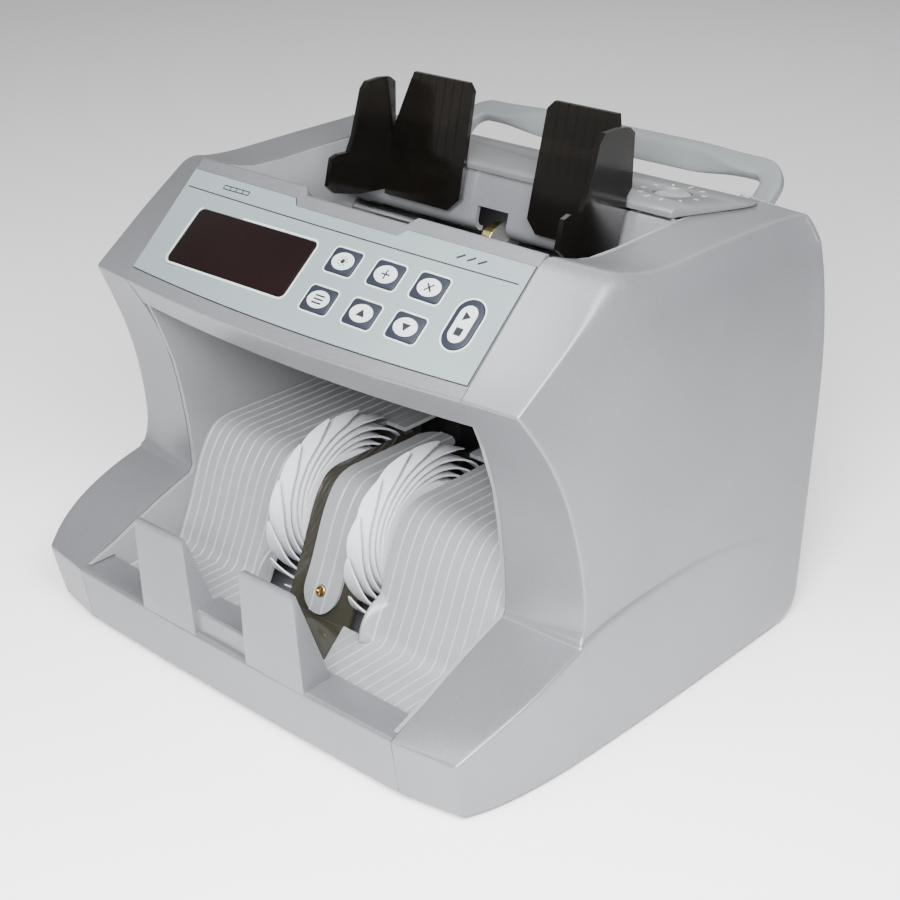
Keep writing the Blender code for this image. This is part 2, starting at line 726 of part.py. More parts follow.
def tooth(side):
    """One of the two stops in front of the stacked notes: a flat front and sides that slope back."""
    rows = [(26.9, (16.0, 51.0), (-11.0, 4.8)), (38.0, (16.3, 50.6), (-11.6, 1.0)),
            (70.6, (17.5, 49.3), (-13.1, -10.4)), (73.6, (20.2, 46.6), (-12.9, -11.0))]
    verts = []
    for z, (x0, x1), (y0, y1) in rows:
        verts += [(side * x0, y0, z), (side * x1, y0, z), (side * x1, y1, z), (side * x0, y1, z)]
    faces = [(0, 1, 2, 3), (12, 13, 14, 15)]
    for r in range(3):
        for i in range(4):
            a, b = 4 * r + i, 4 * r + (i + 1) % 4
            faces.append((a, b, b + 4, a + 4))
    return new_object("tooth", verts, faces, None, home=CUTTERS)


def arch_band():
    path = [(43.4, 18.6)] + [(y, z) for y, z in WALL_PATH[1:-2]] + [(133.0, 76.2)]
    path = offset_path(path, -0.2)
    band = sheet("arch_band", path, -BAND_HALF, BAND_HALF, BAND_T, "grey_plastic", (-3.4, 3.4))
    lower = 19.6
    corner = []
    for i in range(9):
        a = math.radians(180 + 180.0 * i / 8)
        corner.append((BAND_HALF * math.cos(a), lower + BAND_HALF + BAND_HALF * math.sin(a)))
    mask = [(-30, 0.0), (30, 0.0), (30, lower + BAND_HALF)] + corner[::-1] + [(-30, lower + BAND_HALF)]
    cut(band, prism("band_foot", mask, 30.0, 62.0, "y", home=CUTTERS))
    end = []
    for i in range(9):
        a = math.radians(180.0 * i / 8)
        end.append((BAND_HALF * math.cos(a), 122.6 + BAND_HALF * math.sin(a)))
    mask = [(30, 122.6)] + end + [(-30, 122.6), (-30, 140), (30, 140)]
    cut(band, prism("band_end", mask, 60.0, 90.0, "z", home=CUTTERS))
    return cut(band, rod("screw_seat", SCREW_HOLE_R, wall_frame(SCREW_AT), -6.0, 6.0, 16, home=CUTTERS))


def wall_frame(centre):
    """A frame at a point of the stacker wall, with its local z square to the wall."""
    along = (Vector((0.0, *WALL_PATH[2])) - Vector((0.0, *WALL_PATH[0]))).normalized()
    across = Vector((1.0, 0.0, 0.0))
    normal = Vector((0.0, -along.z, along.y))
    return Matrix.Translation(centre) @ Matrix((across, along, normal)).transposed().to_4x4()


def smoke_guard():
    """A smoky plate under the band, between the two impellers, with a floor in front of it."""
    shifted = offset_path(WALL_PATH, BAND_T + 0.3)
    path = [(44.3, 16.1)] + shifted[:-1] + [(128.0, shifted[-1][1])]
    guard = sheet("smoke_guard", path, -GUARD_HALF, GUARD_HALF, GUARD_T, "smoke")
    half = [(GUARD_HALF - 0.2, 45.6), (GUARD_HALF - 0.2, 43.6), (30.6, 19.8), (30.6, 8.4)]
    outline = half + [(-x, y) for x, y in reversed(half)]
    join(guard, prism("guard_floor", outline, 16.1, 17.9, "z", home=CUTTERS))
    return cut(guard, rod("screw_hole", SCREW_HOLE_R, wall_frame(SCREW_AT), -8.0, 6.0, 16, home=CUTTERS))


# ---------------------------------------------------------------- impellers


def blade_radius(phi):
    return WHEEL_HUB_R + (WHEEL_TIP_R - WHEEL_HUB_R) * (1 - phi / BLADE_SWEEP) ** 1.38


def impeller(name, side):
    """Hub with swept blades, each narrowing to a point at its tip."""
    y0, z0 = WHEEL_AXIS
    cx = side * WHEEL_X
    angles = [0.0, 4.0, 9.0, 16.0, 26.0, 40.0, 56.0, 74.0, 94.0]
    verts, faces = [], []
    pitch = 360.0 / BLADES
    root_half = math.degrees(BLADE_T / WHEEL_HUB_R) * 1.6

    def polar(radius, degrees, x):
        a = math.radians(degrees)
        return (x, y0 + radius * math.cos(a), z0 + radius * math.sin(a))

    ring = {-1: [], 1: []}
    for k in range(BLADES):
        tip = BLADE_PHASE + pitch * k
        rings = []
        for phi in angles:
            r = blade_radius(phi)
            thick = BLADE_T * min(1.0, 0.55 + phi / 30.0)
            half = min(WHEEL_HALF, 0.5 + 3.7 * (phi / 16.0) ** 0.8)
            shift = side * 0.6 * (1 - half / WHEEL_HALF)
            row = []
            for s in (-1, 1):
                for radius in (r + thick / 2, r - thick / 2):
                    row.append(len(verts))
                    verts.append(polar(radius, tip + phi, cx + shift + s * half))
            rings.append(row)
        root = []
        for s in (-1, 1):
            for turn in (root_half, -root_half):
                root.append(len(verts))
                verts.append(polar(WHEEL_HUB_R, tip + BLADE_SWEEP + turn, cx + s * WHEEL_HALF))
        rings.append(root)
        faces.append((rings[0][0], rings[0][1], rings[0][3], rings[0][2]))
        for a, b in zip(rings, rings[1:]):
            faces.append((a[0], b[0], b[1], a[1]))
            faces.append((a[2], a[3], b[3], b[2]))
            faces.append((a[0], a[2], b[2], b[0]))
            faces.append((a[1], b[1], b[3], a[3]))
        ring[-1] += [root[1], root[0]]
        ring[1] += [root[3], root[2]]
    count = len(ring[1])
    for k in range(1, count, 2):
        n = (k + 1) % count
        faces.append((ring[-1][k], ring[1][k], ring[1][n], ring[-1][n]))
    bore = {}
    for s in (-1, 1):
        bore[s] = []
        for i in range(count):
            a = math.radians(BLADE_PHASE + BLADE_SWEEP + pitch * i / 2)
            bore[s].append(len(verts))
            verts.append(polar(SHAFT_R + 0.02, math.degrees(a), cx + s * WHEEL_HALF))
        for i in range(count):
            n = (i + 1) % count
            faces.append((ring[s][i], ring[s][n], bore[s][n], bore[s][i]))
    for i in range(count):
        n = (i + 1) % count
        faces.append((bore[-1][i], bore[-1][n], bore[1][n], bore[1][i]))
    return new_object(name, verts, faces, "white_plastic", origin=(cx, y0, z0))


# ---------------------------------------------------------------- frame


TRAY_EDGE = [(122.0, 4.8), (129.4, 18.5), (134.2, 46.0), (136.8, 90.0), (138.3, 140.5), (139.2, 185.0),
             (139.2, 202.0), (98.0, 202.0), (97.6, 212.6)]
FEET = {"front_left": (-112.0, 24.0), "front_right": (112.0, 24.0),
        "rear_left": (-124.0, 188.0), "rear_right": (124.0, 188.0)}


def base():
    outline = TRAY_EDGE + [(-x, y) for x, y in reversed(TRAY_EDGE)]
    tray = prism("base_tray", outline, 0.0, 2.5, "z", "grey_plastic")
    for x in (-40.0, 0.0, 40.0):
        for i in range(5):
            y = 92.0 + 9.0 * i
            cut(tray, box("vent", (x - 13, x + 13), (y, y + 3.0), (-1.0, 4.0), home=CUTTERS))
    for name, (x, y) in FEET.items():
        pad = cylinder(f"foot_{name}", 8.0, (x, y), -FOOT_DROP, -GAP, "z", 28, "rubber")
        bevel(pad, 0.6)
    return tray


def inner_wall(name, side):
    shoulder = [(y, z) for _, y, z in SHOULDER_IN[1:-1]]
    wing = [(y, z) for _, y, z in WING_IN[:-1]]
    outline = [(8.2, 3.0), (8.2, 28.6), (-6.0, 28.6)]
    outline += [(y + 0.25, z - 0.25) for y, z in shoulder]
    outline += [(56.4, 52.2)] + [(y + 0.25, z) for y, z in wing] + [(39.9, 143.2)]
    outline += [(86.5, 143.2), (86.5, 198.1), (92.0, 196.1), (100.0, 193.8), (108.7, 192.2), (126.0, 191.8),
                (150.0, 192.6), (180.0, 193.0), (193.5, 193.0), (193.5, 104.0), (210.0, 96.0), (210.0, 3.0)]
    low, high = sorted((side * WALL_X, side * (WALL_X + WALL)))
    wall = prism(name, outline, low, high, "x", "white_plastic")
    ends = sorted((side * (WALL_X + WALL - 0.5), side * (WALL_X + WALL + 1.6)))
    through = sorted((side * 90.0, side * 104.0))
    for axis in (WHEEL_AXIS, FEED_AXIS, TRANSPORT_AXIS):
        join(wall, cylinder("boss", 8.0, axis, *ends, home=CUTTERS))
        cut(wall, cylinder("bearing", SHAFT_R + 0.25, axis, *through, home=CUTTERS))
    return wall


def rear_panel():
    half = SEAM_X - GAP
    panel = box("rear_panel", (-half, half), (213.1, REAR_Y), (0.3, 189.8), "housing")
    for side in (-1, 1):
        outer = sorted((side * 82.6, side * half))
        inner = sorted((side * 84.4, side * (half - 1.2)))
        join(panel, box("pocket", outer, (195.6, 213.6), (106.0, 182.0), home=CUTTERS))
        cut(panel, box("pocket_room", inner, (197.4, 230.0), (108.0, 180.0), home=CUTTERS))
        pin = sorted((side * 80.0, side * 88.0))
        cut(panel, cylinder("pin_hole", 2.9, HANDLE_PIVOT, *pin, home=CUTTERS))
    for i in range(6):
        z = 104.0 + 7.0 * i
        for x in (-38.0, 38.0):
            cut(panel, box("vent", (x - 30, x + 30), (205, 220), (z, z + 3.0), home=CUTTERS))
    cut(panel, box("inlet_hole", (INLET[0] - 14.3, INLET[0] + 14.3), (205, 220),
                   (INLET[1] - 10.8, INLET[1] + 10.8), home=CUTTERS))
    cut(panel, box("switch_hole", (SWITCH[0] - 7.3, SWITCH[0] + 7.3), (205, 220),
                   (SWITCH[1] - 10.3, SWITCH[1] + 10.3), home=CUTTERS))
    return panel


def power_parts():
    x, z = INLET
    outline = [(x + a, z + b) for a, b in ((-13.8, -10.3), (13.8, -10.3), (13.8, 10.3), (-13.8, 10.3))]
    inlet = prism("power_inlet", outline, 192.0, 216.2, "y", "black_plastic")
    join(inlet, box("flange", (x - 17.0, x + 17.0), (215.8, 217.6), (z - 13.0, z + 13.0), home=CUTTERS))
    shape = ((-11.4, -8.0), (11.4, -8.0), (11.4, 3.6), (7.0, 8.0), (-7.0, 8.0), (-11.4, 3.6))
    cut(inlet, prism("socket", [(x + a, z + b) for a, b in shape], 198.0, 230.0, "y", home=CUTTERS))
    for dx, dz in ((-7.0, -1.8), (0.0, 2.2), (7.0, -1.8)):
        join(inlet, box("contact", (x + dx - 1.0, x + dx + 1.0), (197.0, 213.0), (z + dz - 2, z + dz + 2),
                        home=CUTTERS))
    x, z = SWITCH
    frame = box("switch_frame", (x - 6.9, x + 6.9), (200.0, 216.2), (z - 9.9, z + 9.9), "black_plastic")
    join(frame, box("flange", (x - 8.6, x + 8.6), (215.8, 217.0), (z - 11.6, z + 11.6), home=CUTTERS))
    cut(frame, box("well", (x - 5.6, x + 5.6), (203.0, 230.0), (z - 8.6, z + 8.6), home=CUTTERS))
    tilt = math.radians(ROCKER_TILT)
    level = ((-5.0, -3.5), (-5.0, 3.5), (2.9, 7.6), (2.0, 0.0), (2.9, -7.6))
    side = [(ROCKER_Y + a * math.cos(tilt) - b * math.sin(tilt), z + a * math.sin(tilt) + b * math.cos(tilt))
            for a, b in level]
    rocker = prism("power_rocker", side, x - 5.2, x + 5.2, "x", "black_plastic", origin=(x, ROCKER_Y, z))
    return inlet, frame, rocker


def electronics():
    board = box("main_board", (-72.0, 84.0), (206.8, 208.4), (60.0, 98.0), "board")
    parts = ((-60, -44, 66, 82, 8), (-36, -8, 68, 90, 3), (2, 12, 66, 78, 9), (18, 28, 66, 78, 9),
             (36, 60, 64, 74, 6), (66, 80, 68, 92, 5), (-60, -42, 86, 94, 4))
    for x0, x1, z0, z1, height in parts:
        join(board, box("component", (x0, x1), (206.9 - height, 207.0), (z0, z1), home=CUTTERS))
    core = box("power_transformer", (24.0, 78.0), (158.0, 190.0), (8.0, 52.0), "steel")
    join(core, box("bobbin", (34.0, 68.0), (150.0, 198.0), (14.0, 46.0), home=CUTTERS))
    join(core, box("bracket", (16.0, 86.0), (164.0, 184.0), (2.8, 8.5), home=CUTTERS))
    return board, core


def chute_liner():
    path = [(46.5, 141.0), (52.0, 141.0), (150.0, 141.0), (150.0, 78.6)]
    liner = sheet("chute_liner", path, -95.6, 95.6, 2.0, "black_plastic")
    cut(liner, box("note_slot", (-92, 92), (136.0, 145.5), (130, 150), home=CUTTERS))
    return liner


# ---------------------------------------------------------------- note feed


def pulley(name, bands, axis, radius, look="white_plastic"):
    """A pulley on one shaft with a flange beside each running band."""
    profile = []
    for low, high in bands:
        profile += [(low, radius + 1.2), (low + 0.8, radius + 1.2), (low + 0.8, radius), (high - 0.8, radius),
                    (high - 0.8, radius + 1.2), (high, radius + 1.2)]
    return turned(name, profile, axis, SHAFT_R + 0.1, look)


def turned(name, profile, axis, bore, look, count=28):
    """A body turned about an x-wise axis from an (x, radius) profile, bored right through."""
    closed = profile + [(profile[-1][0], bore), (profile[0][0], bore)]
    middle = (profile[0][0] + profile[-1][0]) / 2
    n = len(closed)
    mesh = bpy.data.meshes.new(name)
    points = [((x - middle) * MM, r * MM, 0.0) for x, r in closed]
    mesh.from_pydata(points, [(i, (i + 1) % n) for i in range(n)], [])
    mesh.materials.append(own_material(name, look))
    obj = bpy.data.objects.new(name, mesh)
    obj.location = pt(middle, *axis)
    PARTS.objects.link(obj)
    screw = obj.modifiers.new("turn", "SCREW")
    screw.axis = "X"
    screw.steps = count
    screw.render_steps = count
    screw.use_merge_vertices = True
    screw.merge_threshold = 0.00001
    bake(obj)
    bm = bmesh.new()
    bm.from_mesh(obj.data)
    close(bm)
    bm.to_mesh(obj.data)
    bm.free()
    return obj


def shaft(name, axis, low, high, look="steel"):
    made = cylinder(name, SHAFT_R, axis, low, high, "x", 24, look, origin=((low + high) / 2, *axis))
    return bevel(made, 0.5)


def belt(name, a, b, radius, low, high):
    """A flat belt round two equal pulleys."""
    a, b = Vector(a), Vector(b)
    along = (b - a).normalized()
    square = Vector((-along.y, along.x))
    loops = []
    for r in (radius + 1.0, radius):
        loop = []
        for centre, sign in ((b, 1.0), (a, -1.0)):
            for i in range(13):
                t = math.pi * i / 12
                loop.append(centre + square * (r * sign * math.cos(t)) + along * (r * sign * math.sin(t)))
        loops.append(loop)
    return plate(name, loops, ALONG["x"], low, high, "rubber")


def motor(name, axis, side, near, far, radius, look="steel"):
    y0, z0 = axis
    low, high = sorted((side * near, side * far))
    body = cylinder(name, radius, axis, low, high, "x", 28, look)
    bevel(body, 1.2)
    tail = sorted((side * (far - 0.5), side * (far + 3.0)))
    join(body, cylinder("tail", 5.0, axis, *tail, home=CUTTERS))
    return body


def note_feed():
    shaft("feed_shaft", FEED_AXIS, -99.4, 116.5)
    turned("feed_roller", [(-1.9, 11.6), (-1.0, FEED_R), (7.6, FEED_R), (8.5, 11.6)], FEED_AXIS, SHAFT_R + 0.1,
           "rubber", 36)
    rim = [(-8.2, 10.6), (-7.6, 11.2), (-2.8, 11.2), (-2.2, 10.6)]
    turned("feed_collar", rim, FEED_AXIS, SHAFT_R + 0.1, "brass")
    pulley("feed_pulley", ((100.2, 106.8), (108.6, 115.2)), FEED_AXIS, 7.0)
    shaft("transport_shaft", TRANSPORT_AXIS, -99.4, 116.5)
    for name, x in (("transport_roller_left", -27.0), ("transport_roller_right", 27.0)):
        turned(name, [(x - 7, 11.4), (x - 6.4, TRANSPORT_R), (x + 6.4, TRANSPORT_R), (x + 7, 11.4)],
               TRANSPORT_AXIS, SHAFT_R + 0.1, "rubber", 32)
    pulley("transport_pulley", ((108.6, 115.2),), TRANSPORT_AXIS, 7.0)
    pulley("motor_pulley", ((100.2, 106.8),), MOTOR_AXIS, 7.0)
    belt("drive_belt", MOTOR_AXIS, FEED_AXIS, 7.2, 101.2, 105.8)
    belt("timing_belt", TRANSPORT_AXIS, FEED_AXIS, 7.2, 109.6, 114.2)
    drive = motor("feed_motor", MOTOR_AXIS, 1, 109.0, 136.0, 17.0)
    for dy in (-13.0, 13.0):
        join(drive, cylinder("post", 2.4, (MOTOR_AXIS[0] + dy, MOTOR_AXIS[1]), 98.4, 110.0, home=CUTTERS))
    join(drive, cylinder("spindle", 3.6, MOTOR_AXIS, 99.6, 109.5, home=CUTTERS))
    stack = motor("stack_motor", WHEEL_AXIS, -1, 99.9, 127.0, 18.0)
    cut(stack, cylinder("coupling", SHAFT_R + 0.25, WHEEL_AXIS, -107.0, -90.0, home=CUTTERS))
    shaft("impeller_shaft", WHEEL_AXIS, -106.0, 99.4)
    impeller("impeller_left", -1)
    impeller("impeller_right", 1)
    block = [(149.6, 150.6), (158.4, 150.6), (160.0, 164.5), (156.0, 167.4), (149.6, 160.2)]
    prism("retard_block", block, -9.0, 12.0, "x", "rubber")
    bridge = box("sensor_bridge", (-95.6, 95.6), (138.2, 142.2), (122.0, 130.0), "black_plastic")
    for x in (-60.0, 0.0, 60.0):
        join(bridge, box("sensor", (x - 5, x + 5), (142.0, 144.2), (123.5, 128.5), home=CUTTERS))


# ---------------------------------------------------------------- hopper


def hopper_rear_wall():
    top, low = Vector(HOPPER_TOP), Vector(HOPPER_LOW)
    down = (low - top).normalized()
    square = Vector((-down.y, down.x))
    centre = low + square * HOPPER_ROLL
    start = math.atan2(-square.y, -square.x)
    path = [(167.9, COVER_LOW - 0.4), (166.4, 189.8)]
    path.append(tuple(low))
    for i in range(1, 7):
        a = start + math.radians(100.0 * i / 6)
        path.append((centre.x + HOPPER_ROLL * math.cos(a), centre.y + HOPPER_ROLL * math.sin(a)))
    wall = sheet("hopper_rear_wall", path, -95.6, 95.6, -2.2, "housing")
    for slot in SLOTS:
        cut(wall, box("guide_slot", slot, (150, 200), (SLOT_Z, 210), home=CUTTERS))
    return cut(wall, box("roller_notch", (-8.6, 9.6), (140, 200), (150, 178.6), home=CUTTERS))


def hopper_floor():
    return sheet("hopper_floor", [(87.0, 168.0), (120.0, 163.8), (148.4, 159.6)], -95.6, 95.6, 2.0, "housing")


def cover_top(y):
    return 197.7 - 0.07 * (y - 166.0)


COVER_EDGE = [(94.8, 166.0), (98.6, 175.0), (104.4, 187.0), (109.4, 198.0), (111.2, 204.0), (110.6, 208.0),
              (108.0, 209.6)]


def top_rear_cover():
    edge = COVER_EDGE + [(-x, y) for x, y in reversed(COVER_EDGE)]
    cover = prism("top_rear_cover", edge, COVER_LOW, 200.0, "z", "housing")
    above = [(150.0, cover_top(150.0)), (230.0, cover_top(230.0)), (230.0, 210.0), (150.0, 210.0)]
    cut(cover, prism("above", above, -130.0, 130.0, home=CUTTERS))
    skirt = [(206.5, 194.0), (206.5, cover_top(206.5) - 0.02), (211.0, 194.2), (214.2, 192.6), (215.4, 190.2),
             (213.2, 190.2), (211.6, 192.0), (209.0, 192.6)]
    join(cover, prism("skirt", skirt, -98.0, 98.0, home=CUTTERS))
    return cut(cover, cylinder("dial_hole", DIAL_R, DIAL_AT, 180, 210, "z", 32, home=CUTTERS))


def thickness_dial():
    x, y = DIAL_AT
    top = cover_top(y) - 1.0
    dial = cylinder("thickness_dial", DIAL_R - GAP, (x, y), 190.6, top, "z", 32, "grey_plastic",
                    origin=(x, y, 190.6))
    join(dial, cylinder("stem", 3.0, (x, y), 180.0, 191.0, "z", 16, home=CUTTERS))
    return cut(dial, box("slot", (x - 7.0, x + 7.0), (y - 1.1, y + 1.1), (top - 1.6, top + 2.0), home=CUTTERS))


GUIDE_LOW = (156.7, 175.0)
GUIDE_HIGH = (169.7, 231.6)
GUIDE_T = 2.2
GUIDE_PLATE = [(20.0, 180.7), (26.0, 175.0), (66.0, 175.0), (68.3, 194.7), (67.3, 201.0), (58.4, 231.6),
               (24.4, 231.6), (21.2, 228.1)]
GUIDE_WING = [(117.2, 187.6), (121.8, 183.4), (139.1, 178.9), (157.8, 177.0), (161.6, 190.0), (163.4, 200.0),
              (166.5, 203.0), (166.8, 226.5), (163.0, 229.3), (156.0, 230.2), (146.5, 230.0), (143.3, 227.2),
              (136.2, 206.8), (132.4, 200.4), (124.8, 200.9), (120.6, 199.8)]
GUIDE_WING_X = 68.5
GUIDE_WING_T = 2.4
GUIDE_WING_LEAN = {-1: 0.08, 1: 0.0}    # how much a wing leans towards the middle at its front
GUIDE_SHIFT = 4.5          # the guides stand a little to the right of the middle
TONGUE_X = (58.5, 68.5)
CARRIAGE_X = (44.0, 68.5)
RAIL = (176.0, 189.6)


def note_guide(name, side):
    """A smoky back plate with a forward wing, hung from a carriage on the rail behind the hopper wall."""
    (y0, z0), (y1, z1) = GUIDE_LOW, GUIDE_HIGH
    slope = (y1 - y0) / (z1 - z0)
    leaning = Matrix(((side, 0, 0, GUIDE_SHIFT), (0, slope, 1, y0 - slope * z0), (0, 1, 0, 0), (0, 0, 0, 1)))
    centre = (side * 44.0 + GUIDE_SHIFT, *RAIL)
    guide = plate(name, [GUIDE_PLATE], leaning, 0.0, GUIDE_T, "smoke", origin=centre)
    turn = GUIDE_WING_LEAN[side]
    start = side * (GUIDE_WING_X - turn * y1) + GUIDE_SHIFT
    upright = Matrix(((side * turn, 0, side, start), (1, 0, 0, 0), (0, 1, 0, 0), (0, 0, 0, 1)))
    join(guide, plate("wing", [GUIDE_WING], upright, -GUIDE_WING_T / 2, GUIDE_WING_T / 2, home=CUTTERS))
    tongue = sorted(side * x + GUIDE_SHIFT for x in TONGUE_X)
    join(guide, box("tongue", tongue, (160.8, 173.0), (192.6, 193.5), home=CUTTERS))
    x0, x1 = sorted(side * x + GUIDE_SHIFT for x in CARRIAGE_X)
    join(guide, box("carriage", (x0, x1), (172.0, 180.2), (185.4, 193.5), home=CUTTERS))
    return cut(guide, cylinder("rail_bore", 2.6, RAIL, x0 - 2, x1 + 2, "x", 20, home=CUTTERS))


# ---------------------------------------------------------------- handle


HANDLE_TILT = math.radians(36.0)
HANDLE_CORNER = 11.0
HANDLE_ARM_X = 91.0
HANDLE_BAR_AT = 62.1
# Sections as (towards the outside, lift): the flat arms, and the grip in the middle of the bar
ARM_SECTION = [(-5.4, 0.6), (-4.6, 2.6), (4.4, 3.0), (5.5, 1.8), (5.5, -1.8), (4.4, -3.0), (-4.4, -3.0),
               (-5.4, -1.8)]
GRIP_SECTION = [(-7.3, -2.6), (1.6, 4.2), (5.0, 3.9), (6.5, 2.4), (6.6, -3.0), (4.0, -6.2), (-3.0, -6.6),
                (-6.6, -4.6)]


def handle_point(x, along, lift):
    y = HANDLE_PIVOT[0] + along * math.cos(HANDLE_TILT) - lift * math.sin(HANDLE_TILT)
    z = HANDLE_PIVOT[1] + along * math.sin(HANDLE_TILT) + lift * math.cos(HANDLE_TILT)
    return (x, y, z)


def handle_stations():
    """Points along the middle of the handle with their outward directions, from the left arm to the right one."""
    r = HANDLE_CORNER
    cx, cy = HANDLE_ARM_X - r, HANDLE_BAR_AT - r
    right = [((HANDLE_ARM_X, a), (1.0, 0.0)) for a in (-5.0, 20.0, cy)]
    for i in range(1, 7):
        t = math.radians(90.0 * i / 6)
        right.append(((cx + r * math.cos(t), cy + r * math.sin(t)), (math.cos(t), math.sin(t))))
    right += [((x, HANDLE_BAR_AT), (0.0, 1.0)) for x in (74.0, 67.0, 60.0, 53.0, 46.0, 30.0)]
    left = [((-p[0], p[1]), (-n[0], n[1])) for p, n in right]
    return left + [((0.0, HANDLE_BAR_AT), (0.0, 1.0))] + right[::-1]


def handle():
    stations = handle_stations()
    count = len(ARM_SECTION)
    verts = []
    for (x, along), (nx, na) in stations:
        share = min(max((74.0 - abs(x)) / 30.0, 0.0), 1.0) if na == 1.0 else 0.0
        share = share * share * (3 - 2 * share)
        for (w0, l0), (w1, l1) in zip(ARM_SECTION, GRIP_SECTION):
            w = w0 + (w1 - w0) * share
            lift = l0 + (l1 - l0) * share
            verts.append(handle_point(x + nx * w, along + na * w, lift))
    faces = []
    for s in range(len(stations) - 1):
        for i in range(count):
            a, b = count * s + i, count * s + (i + 1) % count
            faces.append((a, b, b + count, a + count))
    last = count * (len(stations) - 1)
    faces += [tuple(range(count)), tuple(last + i for i in range(count - 1, -1, -1))]
    body = new_object("handle", verts, faces, "housing", origin=(0.0, *HANDLE_PIVOT))
    for side in (-1, 1):
        pin = sorted((side * 82.9, side * 87.5))
        join(body, cylinder("pin", 2.6, HANDLE_PIVOT, *pin, "x", 16, home=CUTTERS))
    return body


# ---------------------------------------------------------------- assembly


for label, hand in (("left", -1), ("right", 1)):
    side_cover(f"side_cover_{label}", hand)
    inner_wall(f"inner_wall_{label}", hand)
    stacker_plate(f"stacker_plate_{label}", hand)
    note_guide(f"note_guide_{label}", hand)
base()
stacker_lip()
arch_band()
rod("band_screw", SCREW_R, wall_frame(SCREW_AT), -4.0, 0.9, 16, "brass")
smoke_guard()
console()
rear_panel()
power_parts()
electronics()
chute_liner()
note_feed()
hopper_rear_wall()
hopper_floor()
top_rear_cover()
thickness_dial()
cylinder("guide_rail", 2.3, RAIL, -95.6, 95.6, "x", 20, "steel")
handle()
bpy.context.view_layer.update()
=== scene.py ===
import math

import bmesh
import bpy
from mathutils import Matrix, Vector


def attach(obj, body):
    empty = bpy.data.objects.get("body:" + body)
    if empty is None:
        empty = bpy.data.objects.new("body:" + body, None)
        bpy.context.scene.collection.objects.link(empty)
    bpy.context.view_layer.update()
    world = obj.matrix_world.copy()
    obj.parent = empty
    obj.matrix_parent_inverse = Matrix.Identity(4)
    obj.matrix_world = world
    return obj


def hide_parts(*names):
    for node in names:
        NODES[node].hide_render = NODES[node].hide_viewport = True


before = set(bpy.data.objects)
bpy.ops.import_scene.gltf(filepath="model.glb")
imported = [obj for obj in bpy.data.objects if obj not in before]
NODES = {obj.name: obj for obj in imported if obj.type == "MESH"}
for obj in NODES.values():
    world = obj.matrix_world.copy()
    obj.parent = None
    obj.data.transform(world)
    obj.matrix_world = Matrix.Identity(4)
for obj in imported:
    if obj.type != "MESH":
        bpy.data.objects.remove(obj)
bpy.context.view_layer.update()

STATIC = "machine"

# Machine millimetres: x from the centre plane, y from the front edge of the base, z from the lower base edge
MM = 0.001
DEPTH_CENTRE = 126.32
FOOT_DROP = 3.0


SIDES = (("left", -1), ("right", 1))


def pt(x, y, z):
    return Vector((x * MM, (y - DEPTH_CENTRE) * MM, (z + FOOT_DROP) * MM))


def add_object(name, data):
    obj = bpy.data.objects.new(name, data)
    bpy.context.scene.collection.objects.link(obj)
    return obj


# ------------------------------------------------------------------ camera and light

CAMERA_AT = (451.87, -371.21, 399.82)
CAMERA_TURN = 41.776
CAMERA_TILT = 26.105
CAMERA_LENS = 64.0
SENSOR = 36.0
WORLD_LIGHT = 0.36
WHITE = (1.0, 1.0, 1.0)
# name, azimuth and elevation in degrees, distance and size in metres, power in watts, colour
LIGHTS = (
    ("key", 33.0, 31.0, 0.85, 0.3, 21.0, WHITE),
    ("side", 60.0, 42.0, 0.6, 0.25, 7.0, WHITE),
    ("sheen", -14.0, 62.0, 1.2, 0.5, 9.0, (0.97, 0.98, 1.0)),
    ("rear", 205.0, 45.0, 1.6, 1.0, 5.0, WHITE),
)
LIGHT_AIM = Vector((0.0, 0.0, 0.1))
FLOOR_HALF = 4.0


def place_camera():
    data = bpy.data.cameras.new("camera")
    data.lens = CAMERA_LENS
    data.sensor_width = SENSOR
    data.clip_start = 0.01
    camera = add_object("camera", data)
    turn, tilt = math.radians(CAMERA_TURN), math.radians(CAMERA_TILT)
    camera.rotation_euler = (math.pi / 2 - tilt, 0.0, turn)
    camera.location = pt(*CAMERA_AT)
    bpy.context.scene.camera = camera


def area_light(name, azimuth, elevation, distance, size, power, colour):
    """A square soft light aimed at the machine's middle; azimuth 0 is in front, positive to the right."""
    data = bpy.data.lights.new(name, "AREA")
    data.shape = "SQUARE"
    data.size = size
    data.energy = power
    data.color = colour
    light = add_object(name, data)
    a, e = math.radians(azimuth), math.radians(elevation)
    away = Vector((math.sin(a) * math.cos(e), -math.cos(a) * math.cos(e), math.sin(e)))
    light.location = LIGHT_AIM + away * distance
    light.rotation_euler = (-away).to_track_quat("-Z", "Y").to_euler()


def studio():
    world = bpy.data.worlds.new("studio")
    world.use_nodes = True
    background = world.node_tree.nodes["Background"]
    background.inputs["Color"].default_value = (*WHITE, 1.0)
    background.inputs["Strength"].default_value = WORLD_LIGHT
    bpy.context.scene.world = world
    for light in LIGHTS:
        area_light(*light)
    mesh = bpy.data.meshes.new("floor")
    corners = [(x * FLOOR_HALF, y * FLOOR_HALF, 0) for x, y in ((-1, -1), (1, -1), (1, 1), (-1, 1))]
    mesh.from_pydata(corners, [], [(0, 1, 2, 3)])
    floor = add_object("floor", mesh)
    mesh.materials.append(plain_material("floor", (0.96, 0.96, 0.96), 0.8))


# ------------------------------------------------------------------ materials


def plain_material(name, colour, rough):
    mat = bpy.data.materials.new(name)
    mat.use_nodes = True
    shader = mat.node_tree.nodes["Principled BSDF"]
    shader.inputs["Base Color"].default_value = (*colour, 1.0)
    shader.inputs["Roughness"].default_value = rough
    return mat


